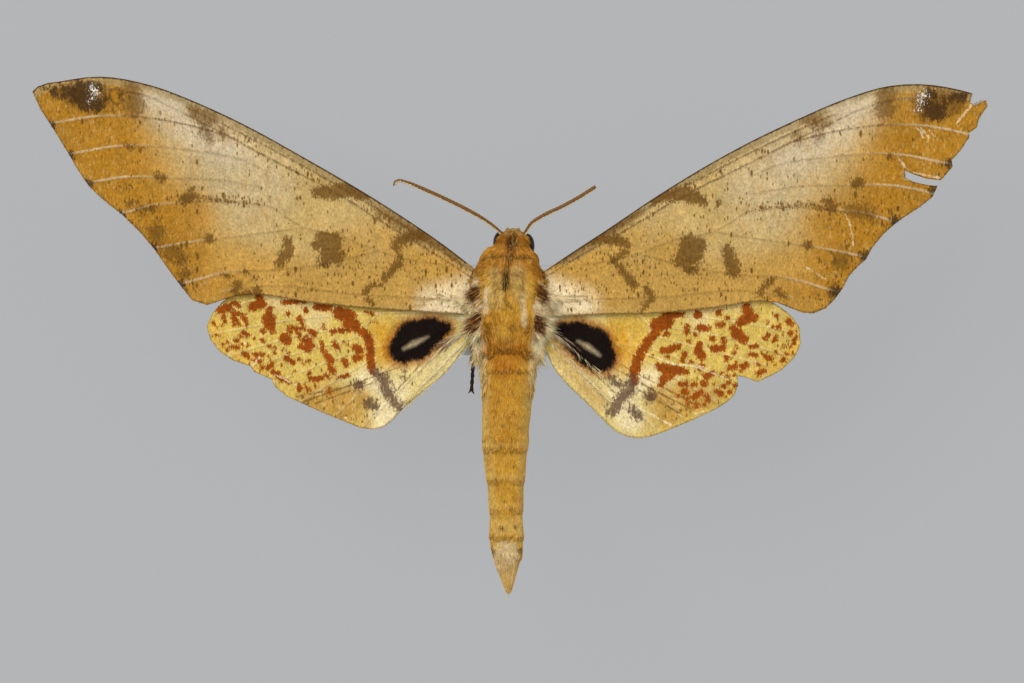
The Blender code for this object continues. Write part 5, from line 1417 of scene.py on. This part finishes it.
class HAWKMOTH_OT_body(bpy.types.Operator):
    """Makes the body's one skin and the coat of hair-like scales on it"""

    bl_idname = "hawkmoth.body"
    bl_label = "Body and coat"

    def execute(self, context):
        mesh = body_skin()
        store(mesh, "coat", body_colour(places_of(mesh)) * SKIN_PAINTED_SHADE)
        new_piece("body_skin", mesh, hair_finish("body_skin_under_scales", 0.85), SKIN_NODES)
        hair = hair_finish("body_hair_scales", 0.65)
        for piece in COAT_PIECES:
            self.cover(mesh, hair, context.scene.hawkmoth_coat, *piece)
        return {"FINISHED"}

    def cover(self, mesh, hair, coat, name, part, share, length, lift, seed):
        """Grows one piece of the coat on the skin."""
        count = round(coat.tufts_a_piece * share)
        roots, facing, rng = scatter(mesh, count, seed, lambda places: on_part(places, *part))
        flow = hair_flow(roots)
        lengths = length * coat.length * rng.uniform(0.65, 1.25, count)
        press = TUFT_PRESS
        if name == "coat_side":
            flow = side_flow(roots)
            # It is shorter over the forewings' roots.
            lengths *= np.clip(0.9 - 0.5 * (roots[:, 1] + 0.6), 0.35, 1)
        if name == "coat_flank":
            flow = flank_flow(roots)
        if name == "coat_tail":
            flow = np.array(TAIL_TIP) + (0, 0, BODY_Z) - roots
            lengths = np.linalg.norm(flow, axis=1) * rng.uniform(0.55, 0.97, count)
            press = STRAIGHT_PRESS
        lie = laid(roots, facing, flow, lift, TUFT_STRAY, rng)
        if name == "coat_tail":
            # The tail's hair aims at the tip and doesn't follow the skin.
            lie = unit(unit(flow) + facing * 0.05 + rng.normal(0, 0.015, roots.shape))
        lengths[on_face(roots)] *= 0.5
        lengths[on_cheeks(roots)] *= 0.65
        widths = coat.tuft_width / MM * rng.uniform(0.7, 1.3, count)
        # Hair takes the colour of the place that its middle covers.
        middle = roots + lie * lengths[:, None] * 0.55
        colours = speckled(body_colour(middle), rng, "honey", "russet", 0.28)
        if name in ("coat_side", "coat_flank"):
            # It stands in the wings' shade, so its colour is painted lighter, as painted light against that
            # shade, where dark tones would hide its strands.
            colours = colours * 1.25
        piece = grow(name, roots, lie, facing, lengths, widths, colours, hair, "coat", press=press)
        if name == "coat_tail":
            # All its points meet in one place, which smooth shading would darken to a cap.
            piece.data.shade_flat()


class HAWKMOTH_OT_eyes(bpy.types.Operator):
    """Makes the two compound eyes in their sockets"""

    bl_idname = "hawkmoth.eyes"
    bl_label = "Eyes"

    def execute(self, context):
        finish = eye_finish()
        for node in ("eye_left", "eye_right"):
            low, high = (Vector(corner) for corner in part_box(node))
            bm = bmesh.new()
            bmesh.ops.create_uvsphere(bm, u_segments=48, v_segments=32, radius=0.5)
            bmesh.ops.scale(bm, vec=high - low, verts=bm.verts)
            bmesh.ops.translate(bm, vec=(low + high) / 2, verts=bm.verts)
            new_piece(node + "_lenses", as_mesh(bm, node), finish, [node])
        return {"FINISHED"}


class HAWKMOTH_OT_antennae(bpy.types.Operator):
    """Makes the two saw-edged antennae"""

    bl_idname = "hawkmoth.antennae"
    bl_label = "Antennae"

    def execute(self, context):
        radius = context.scene.hawkmoth_coat.antenna_radius / MM
        horn = horn_finish("antenna_horn", "#8C5D1A", "#4C2F0C", 0.5, 0.2, 0.02)
        pale = hair_finish("antenna_comb", 0.6)
        rng = np.random.default_rng(21)
        for node, points in FEELER_PATHS.items():
            path = [Vector((p.x, p.y, p.z + BODY_Z)) for p in smooth_curve(points, ANTENNA_STEP)]
            self.shaft(node, path, radius, horn)
            self.comb(node, path, rng, pale)
        return {"FINISHED"}

    def shaft(self, node, path, radius, finish):
        """A beaded shaft that thins towards its root. The left one also thins towards its point."""
        bm = bmesh.new()
        before = None
        for i, point in enumerate(path):
            along = (path[min(i + 1, len(path) - 1)] - path[max(i - 1, 0)]).normalized()
            share = i / (len(path) - 1)
            taper = min(1.0, 0.55 + 1.4 * share)
            if node.endswith("left"):
                taper = min(taper, 0.35 + 2.6 * (1 - share))
            bead = 1.0 if i % 2 else 0.84
            ring = bmesh.ops.create_circle(
                bm, cap_ends=False, segments=ANTENNA_SIDES, radius=radius * taper * bead * MM
            )["verts"]
            turn = along.to_track_quat("Z", "Y").to_matrix().to_4x4()
            bmesh.ops.transform(bm, matrix=Matrix.Translation(point * MM) @ turn, verts=ring)
            edges = list({edge for vert in ring for edge in vert.link_edges})
            if before:
                bmesh.ops.bridge_loops(bm, edges=before + edges)
            before = edges
        bmesh.ops.holes_fill(bm, edges=[edge for edge in bm.edges if edge.is_boundary])
        bmesh.ops.recalc_face_normals(bm, faces=bm.faces)
        new_piece(node + "_shaft", as_mesh(bm, node), finish, [node])

    def comb(self, node, path, rng, finish):
        """Pale scales in a row along the shaft's rear side, like the teeth of a comb."""
        roots, lies, lifts = [], [], []
        for i, point in enumerate(path[:-1]):
            along = (path[i + 1] - point).normalized()
            side = Vector((0, 0, 1)).cross(along).normalized()
            side = side if side.y < 0 else -side
            for _ in range(COMB_A_RING):
                lean = rng.uniform(-0.9, 0.7)
                out = (side + Vector((0, 0, lean)) + along * 0.35).normalized()
                roots.append(point + along * rng.uniform(0, 0.2))
                lies.append(out)
                lifts.append(along)
        count = len(roots)
        colours = np.tile(np.array(linear("#F2D596")), (count, 1)) * rng.uniform(0.75, 1.15, (count, 1))
        grow(
            node + "_comb", np.array(roots), np.array(lies), np.array(lifts),
            rng.uniform(0.34, 0.44, count), np.full(count, COMB_WIDTH), colours, finish, "antenna", "limb",
        )


class HAWKMOTH_OT_legs(bpy.types.Operator):
    """Makes the six legs and the coiled tongue"""

    bl_idname = "hawkmoth.legs"
    bl_label = "Legs and tongue"

    def execute(self, context):
        horn = horn_finish("leg_horn", "#3B2A1D", "#17100B", 0.55, 0.15, 0.03)
        hair = hair_finish("leg_scales", 0.7)
        legs = [pair + side for pair in ("foreleg", "midleg", "hindleg") for side in ("_left", "_right")]
        for seed, node in enumerate(legs):
            mesh = resurfaced(node, LEG_CELL, 3)
            new_piece(node + "_horn", mesh, horn, [node])
            self.scales(node, mesh, 40 + seed, hair)
        tongue = horn_finish("tongue_horn", "#7A4C26", "#4A2813", 0.4, 0.12, 0.02)
        coil = resurfaced("proboscis", TONGUE_CELL, 4)
        new_piece("proboscis_coil", coil, tongue, ["proboscis"])
        return {"FINISHED"}

    def scales(self, node, mesh, seed, hair):
        """Scales of one leg: pale and long on the thigh, dark and short below the knee."""
        count = LEG_TUFTS
        roots, facing, rng = scatter(mesh, count, seed)
        flow = np.tile(np.array((0.0, -1.0, -0.6)), (count, 1))
        if node.startswith("foreleg"):
            flow[:, 1] = 1.0
        lie = laid(roots, facing, flow, 0.14, 0.15, rng)
        thigh = np.clip((roots[:, 2] - (BODY_Z - KNEE_DEPTH)) / 3, 0.15, 1)
        near_body = roots[:, 1] > HIND_FEET
        colours = np.tile(np.array(linear("#4A3322")), (count, 1)) * rng.uniform(0.6, 1.5, (count, 1))
        pale = (rng.random(count) < 0.35 * thigh * near_body)[:, None] * 0.7
        colours = colours * (1 - pale) + np.array(paint("ochre")) * pale
        tan = (np.clip((thigh - 0.8) * 5, 0, 1) * near_body)[:, None]
        colours = colours * (1 - tan) + np.array(paint("cream")) * tan
        lengths = rng.uniform(0.22, 0.36, count) * (0.8 + 0.9 * thigh + 1.5 * tan[:, 0])
        lengths[roots[:, 1] < HIND_FEET] *= 0.5
        widths = np.full(count, LEG_TUFT_WIDTH)
        grow(node + "_scales", roots, lie, facing, lengths, widths, colours, hair, "leg", "limb")


class HAWKMOTH_OT_wing_hair(bpy.types.Operator):
    """Lays long hair over the wings' roots and inner margins and a fringe along their outer edges"""

    bl_idname = "hawkmoth.wing_hair"
    bl_label = "Wing hair and fringe"

    def execute(self, context):
        hair = hair_finish("wing_root_hair", 0.6)
        for side, sign in (("left", 1), ("right", -1)):
            self.root_hair(side, sign, hair)
        for pair, drop, tone in (("forewing_", 0.0, "tan"), ("hindwing_", HINDWING_DROP, "straw")):
            for side in ("left", "right"):
                self.fringe(pair + side, drop, tone, hair)
        return {"FINISHED"}

    def root_hair(self, side, sign, hair):
        """Long hair over the roots and inner margins of one side's wings."""
        rng = np.random.default_rng(60 + sign)
        parts = []
        for line, count, lie, length, width, near_tone, far_tone, drop in ROOT_HAIR:
            flat = places_along(line, count, rng)
            placed = flat * (sign, 1)
            near = -inside(placed, vein_lines(("hindwing_" if drop else "forewing_") + side))
            height = [wing_height(x, y, drop, away) for (x, y), away in zip(placed, near)]
            roots = np.column_stack([placed, np.array(height) - 0.02])
            flow = np.tile(np.array(lie, dtype=float) * (sign, 1, 1), (count, 1))
            flow[:, 1] += 0.12 * ripple(roots, 1.1, 2.0)
            up = np.tile(np.array((0.0, 0.0, 1.0)), (count, 1))
            ways = laid(roots, up, flow, 0.05, 0.17, rng)
            share = (flat[:, 0] - line[0][0]) / (line[-1][0] - line[0][0]) + rng.normal(0, 0.2, count)
            share = np.clip(share, 0, 1)[:, None]
            colours = np.array(paint(near_tone)) * (1 - share) + np.array(paint(far_tone)) * share
            colours = np.clip(colours * rng.uniform(1.0, 1.45, (count, 1)), 0, 1)
            lengths = length * rng.uniform(0.5, 1.4, count)
            parts.append((roots, ways, up, lengths, np.full(count, width), colours))
        joined = [np.concatenate(column) for column in zip(*parts)]
        grow("root_hair_" + side, *joined, hair, "forewing", "sheet", press=STRAIGHT_PRESS)

    def fringe(self, node, drop, tone, hair):
        """Short scales that stand out past a wing's outer edge."""
        bm, rim = wing_sheet(node, 1.0)
        bm.free()
        rng = np.random.default_rng(len(node) + round(drop * 10))
        middle = np.mean([point[:2] for edge in rim for point in edge], axis=0)
        roots, lies = [], []
        for a, b in rim:
            a, b = np.array(a[:2]), np.array(b[:2])
            run = b - a
            out = np.array((run[1], -run[0])) / max(np.linalg.norm(run), 1e-6)
            out = out if out @ ((a + b) / 2 - middle) > 0 else -out
            if abs(a[0]) < FRINGE_FROM or out[1] > LEAST_FORWARD:
                continue
            for _ in range(int(np.linalg.norm(run) / FRINGE_STEP)):
                place = a + run * rng.random()
                place = place - out * FRINGE_DEPTH * rng.random()
                roots.append((*place, wing_height(*place, drop, 1.0) - 0.05))
                lies.append((*out, 0.0))
        count = len(roots)
        roots, lies = np.array(roots), np.array(lies) + rng.normal(0, 0.22, (count, 3)) * (1, 1, 0.2)
        at_vein = -inside(roots[:, :2], vein_lines(node)) < VEIN_TIP_REACH
        roots[:, :2] -= lies[:, :2] * FRINGE_INSET
        up = np.tile(np.array((0.0, 0.0, 1.0)), (count, 1))
        colours = np.array(paint(tone)) * rng.uniform(0.7, 1.25, (count, 1))
        if node.startswith("fore"):
            colours[at_vein] = np.array(paint("umber")) * 1.2
        grow(
            node + "_fringe", roots, lies, up, rng.uniform(0.2, 0.34, count), np.full(count, FRINGE_STEP),
            np.clip(colours, 0, 1), hair, node.split("_")[0], "sheet", press=0.0,
        )


class HAWKMOTH_OT_stand(bpy.types.Operator):
    """Makes the oval base and the rod of the display stand"""

    bl_idname = "hawkmoth.stand"
    bl_label = "Stand"

    def execute(self, context):
        paint_coat = painted_finish()
        bm, size = upright_in("stand_base", 144)
        rim = [edge for edge in bm.edges if min(vert.co.z for vert in edge.verts) > size.z / 2]
        bmesh.ops.bevel(
            bm, geom=rim, offset=STAND_EDGE * MM, segments=5, profile=0.5, affect="EDGES", material=-1
        )
        base = machined(bm, "stand_base_painted")
        new_piece("stand_base_painted", base, paint_coat, ["stand_base"])
        steel = steel_finish()
        bm, _ = upright_in("stand_rod", 40)
        rod = machined(bm, "stand_rod_drawn")
        new_piece("stand_rod_drawn", rod, steel, ["stand_rod"])
        return {"FINISHED"}


class HAWKMOTH_OT_stage(bpy.types.Operator):
    """Makes the floor, the soft lights and the camera straight above the moth"""

    bl_idname = "hawkmoth.stage"
    bl_label = "Stage"

    def execute(self, context):
        scene = context.scene
        look = scene.hawkmoth_stage
        bm = bmesh.new()
        bmesh.ops.create_grid(bm, x_segments=1, y_segments=1, size=3.0)
        floor = bpy.data.objects.new("floor", as_mesh(bm, "floor"))
        scene.collection.objects.link(floor)
        floor.data.materials.append(board_finish(look))
        world = bpy.data.worlds.new("studio")
        world.use_nodes = True
        back = world.node_tree.nodes["Background"]
        back.inputs["Color"].default_value = (*paint("ground"), 1.0)
        back.inputs["Strength"].default_value = look.fill
        scene.world = world
        for name, place, size, share in LAMPS:
            lamp = bpy.data.objects.new(name, bpy.data.lights.new(name, "AREA"))
            lamp.data.energy = look.key * share
            lamp.data.size = size
            lamp.location = place
            aim = Vector(LAMPS_AIM) - Vector(place)
            lamp.rotation_euler = aim.to_track_quat("-Z", "Y").to_euler()
            scene.collection.objects.link(lamp)
        camera = bpy.data.objects.new("camera", bpy.data.cameras.new("camera"))
        camera.data.lens = CAMERA_LENS
        camera.data.clip_start = 0.01
        away = CAMERA_LENS / camera.data.sensor_width * PHOTO_WIDTH
        height = BODY_Z + FOREWING_Z + away
        camera.location = Vector((*PHOTO_MIDDLE, height)) * MM
        scene.collection.objects.link(camera)
        scene.camera = camera
        scene.view_settings.view_transform = "Standard"
        return {"FINISHED"}


class HawkmothWings(bpy.types.PropertyGroup):
    """Sizes of the wings"""

    membrane: bpy.props.FloatProperty(
        name="Membrane", description="Thickness of a wing", default=0.14 * MM, unit="LENGTH"
    )
    detail: bpy.props.FloatProperty(
        name="Detail", description="Longest edge of the wings' mesh", default=0.28 * MM, unit="LENGTH"
    )


class HawkmothCoat(bpy.types.PropertyGroup):
    """Sizes and numbers of the coat"""

    tufts_a_piece: bpy.props.IntProperty(
        name="Tufts a piece", description="Tufts in each full piece of the coat", default=21000
    )
    length: bpy.props.FloatProperty(
        name="Length", description="How long the tufts are against the measured ones", default=1.0,
        subtype="FACTOR",
    )
    tuft_width: bpy.props.FloatProperty(
        name="Tuft width", description="Width of a tuft at its root", default=0.085 * MM, unit="LENGTH"
    )
    antenna_radius: bpy.props.FloatProperty(
        name="Antenna radius", description="Half the thickness of an antenna's shaft", default=0.235 * MM,
        unit="LENGTH",
    )


class HawkmothStage(bpy.types.PropertyGroup):
    """Light of the studio"""

    key: bpy.props.FloatProperty(
        name="Key light", description="Power of the main lamp", default=5.0, unit="POWER"
    )
    fill: bpy.props.FloatProperty(
        name="Fill", description="Strength of the light from all round", default=1.0
    )
    floor_shadow: bpy.props.FloatProperty(
        name="Floor shadow", description="How much of the floor's tone a shadow can take away", default=0.14
    )
    floor_glow: bpy.props.FloatProperty(
        name="Floor glow", description="Light of the floor itself, which thins the shadow", default=0.87
    )


def colour_group():
    """A PropertyGroup with one colour for each name of the palette."""
    fields = {}
    for name, value in PALETTE.items():
        fields[name] = bpy.props.FloatVectorProperty(
            name=name.capitalize(), description="Colour of the parts that are " + name, default=linear(value),
            size=3, min=0.0, max=1.0, subtype="COLOR",
        )
    return type("HawkmothColours", (bpy.types.PropertyGroup,), {"__annotations__": fields})


HawkmothColours = colour_group()

STEPS = (
    HAWKMOTH_OT_wings,
    HAWKMOTH_OT_body,
    HAWKMOTH_OT_eyes,
    HAWKMOTH_OT_antennae,
    HAWKMOTH_OT_legs,
    HAWKMOTH_OT_wing_hair,
    HAWKMOTH_OT_stand,
    HAWKMOTH_OT_stage,
)
GROUPS = {
    "hawkmoth_wings": HawkmothWings,
    "hawkmoth_coat": HawkmothCoat,
    "hawkmoth_stage": HawkmothStage,
    "hawkmoth_colours": HawkmothColours,
}


class VIEW3D_PT_hawkmoth(bpy.types.Panel):
    """Lists the sizes, the colours and the steps"""

    bl_label = "Hawkmoth"
    bl_space_type = "VIEW_3D"
    bl_region_type = "UI"
    bl_category = "Hawkmoth"

    def draw(self, context):
        for key, group in GROUPS.items():
            box = self.layout.box()
            for field in group.__annotations__:
                box.prop(getattr(context.scene, key), field)
        for step in STEPS:
            self.layout.operator(step.bl_idname)


def register():
    """Makes the settings, steps and panel known to Blender."""
    for group in GROUPS.values():
        bpy.utils.register_class(group)
    for key, group in GROUPS.items():
        setattr(bpy.types.Scene, key, bpy.props.PointerProperty(type=group))
    for step in STEPS:
        bpy.utils.register_class(step)
    bpy.utils.register_class(VIEW3D_PT_hawkmoth)


def unregister():
    """Takes the settings, steps and panel away again."""
    bpy.utils.unregister_class(VIEW3D_PT_hawkmoth)
    for step in reversed(STEPS):
        bpy.utils.unregister_class(step)
    for key in GROUPS:
        delattr(bpy.types.Scene, key)
    for group in reversed(GROUPS.values()):
        bpy.utils.unregister_class(group)


def main():
    """Runs every step in order."""
    register()
    bpy.ops.hawkmoth.wings()
    bpy.ops.hawkmoth.body()
    bpy.ops.hawkmoth.eyes()
    bpy.ops.hawkmoth.antennae()
    bpy.ops.hawkmoth.legs()
    bpy.ops.hawkmoth.wing_hair()
    bpy.ops.hawkmoth.stand()
    bpy.ops.hawkmoth.stage()


if __name__ == "__main__":
    main()
